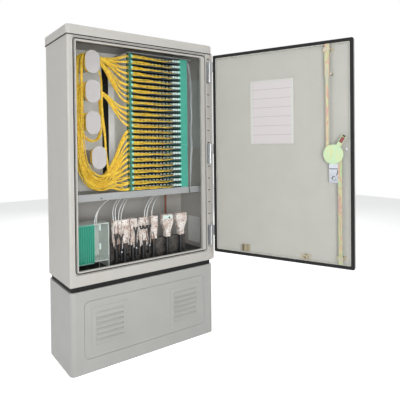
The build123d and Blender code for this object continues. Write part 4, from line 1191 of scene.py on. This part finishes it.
LATCH_S = 596.4
LOCK_FACE = 11.0
CYLINDER_RADIUS = 8.5
CYLINDER_Z = 801.4
outline = [
    [(-20, 842), (0, 842), (20, 842)],
    [(15, 836), (16, 824), (9, 815)],
    [(CYLINDER_RADIUS * cos(k * pi / 8), CYLINDER_Z + CYLINDER_RADIUS * sin(k * pi / 8)) for k in range(18)],
]
lock_lines = [[(LATCH_S + s, z, LOCK_FACE + 0.7) for s, z in line] for line in outline]
door_lines("lock_slots", lock_lines, 3.0, black_nylon, "door")
tongue = [[(626, 955, 22.6), (632, 965, 22.6), (638, 976, 22.6)]]
door_lines("tongue_dip", tongue, 15.0, rose_lacquer, "latch")
tip = [[(640, 979.5, 22.8), (643, 984.5, 22.8)]]
door_lines("tongue_tip", tip, 14.0, black_nylon, "latch")
door_lines("door_screw", [[(647, 926, -8), (647, 926, -4.5)]], 8.0, bright_chrome, "door")
shelf_screw = [(-205, -89.5, 720), (-205, -91.5, 720)]
laid_lines("shelf_screw", [shelf_screw], 6.0, black_nylon, sides=4)

# %% [markdown]
# ## Floor, light and camera
# The object stands on a plain white floor under large soft lamps, as for a catalogue. The camera
# stands left of the cabinet, a little under a metre above the ground, at the photograph's own angle.

# %% Rays that see white


def seen_directly(tree):
    """1 for rays from the camera and from glossy surfaces, which are to see plain white."""
    rays = add_node(tree, "ShaderNodeLightPath")
    direct = rays.outputs["Is Camera Ray"]
    mirrored = rays.outputs["Is Glossy Ray"]
    return add_node(tree, "ShaderNodeMath", {"operation": "MAXIMUM"}, s0=direct, s1=mirrored).outputs[0]


# %% Floor
ground = bpy.data.meshes.new("studio_floor")
reach = 6.0
corners = [(-reach, -reach, 0), (reach, -reach, 0), (reach, reach, 0), (-reach, reach, 0)]
ground.from_pydata(corners, [], [(0, 1, 2, 3)])
studio_floor = bpy.data.objects.new("studio_floor", ground)
bpy.context.scene.collection.objects.link(studio_floor)
white_paper, tree, output = new_material("white_paper")
seen = seen_directly(tree)
paper = add_node(tree, "ShaderNodeBsdfDiffuse", Color=linear("#f2f2f2"))
glow = add_node(tree, "ShaderNodeEmission", Color=linear("#ffffff"), Strength=0.55)
lit = add_node(tree, "ShaderNodeAddShader", s0=paper.outputs[0], s1=glow.outputs[0])
both = add_node(tree, "ShaderNodeMixShader", s0=seen, s1=paper.outputs[0], s2=lit.outputs[0])
surface(tree, output, both)
ground.materials.append(white_paper)

# %% World and lamps
world = bpy.data.worlds.new("studio")
bpy.context.scene.world = world
world.use_nodes = True
tree = world.node_tree
tree.nodes.clear()
output = tree.nodes.new("ShaderNodeOutputWorld")
seen = seen_directly(tree)
backdrop = add_node(tree, "ShaderNodeBackground", Color=linear("#ffffff"), Strength=1.0)
ambient = add_node(tree, "ShaderNodeBackground", Color=linear("#f6f8fa"), Strength=0.27)
both = add_node(tree, "ShaderNodeMixShader", s0=seen, s1=ambient.outputs[0], s2=backdrop.outputs[0])
tree.links.new(both.outputs[0], output.inputs["Surface"])


def lamp(name, place, target, size, power):
    """A square soft lamp aimed at a point."""
    light = bpy.data.lights.new(name, "AREA")
    light.size = size
    light.energy = power
    made = bpy.data.objects.new(name, light)
    bpy.context.scene.collection.objects.link(made)
    made.location = place
    made.rotation_euler = (Vector(target) - Vector(place)).to_track_quat("-Z", "Y").to_euler()
    return made


lamp("key_lamp", (-1.6, -3.4, 2.6), (0.1, 0, 0.7), 2.2, 17)
lamp("front_lamp", (-1.1, -2.9, 0.9), (0, 0, 0.85), 1.2, 44)
lamp("side_lamp", (-3.2, -0.6, 1.6), (0, 0, 0.8), 1.8, 24)
lamp("fill_lamp", (2.6, -3.0, 1.8), (0.2, 0, 0.8), 2.4, 15)
lamp("top_lamp", (0, -0.6, 3.8), (0, 0, 0), 2.4, 36)
lamp("rear_lamp", (2.2, 3.0, 2.0), (0, 0, 0.8), 2.4, 45)

# %% Camera
CAMERA_PLACE = Vector((-955.6, -1849.7, 950.8)) * MM
CAMERA_TURN = 0.6326
CAMERA_DOWN = 0.0119
CAMERA_ROLL = -0.0108
FOCAL_PIXELS = 424.95
PICTURE = 400
HORIZON_PIXEL = 149.87
ahead = Vector((sin(CAMERA_TURN) * cos(CAMERA_DOWN), cos(CAMERA_TURN) * cos(CAMERA_DOWN), -sin(CAMERA_DOWN)))
right = Vector((cos(CAMERA_TURN), -sin(CAMERA_TURN), 0))
over = right.cross(ahead)
level_right = right * cos(CAMERA_ROLL) + over * sin(CAMERA_ROLL)
level_up = -right * sin(CAMERA_ROLL) + over * cos(CAMERA_ROLL)
lens = bpy.data.cameras.new("camera")
lens.sensor_width = 36
lens.lens = FOCAL_PIXELS / PICTURE * lens.sensor_width
lens.shift_y = -(PICTURE / 2 - HORIZON_PIXEL) / PICTURE
camera = bpy.data.objects.new("camera", lens)
bpy.context.scene.collection.objects.link(camera)
camera.matrix_world = Matrix((
    (level_right.x, level_up.x, -ahead.x, CAMERA_PLACE.x),
    (level_right.y, level_up.y, -ahead.y, CAMERA_PLACE.y),
    (level_right.z, level_up.z, -ahead.z, CAMERA_PLACE.z),
    (0, 0, 0, 1),
))
bpy.context.scene.camera = camera
bpy.context.scene.view_settings.view_transform = "Standard"
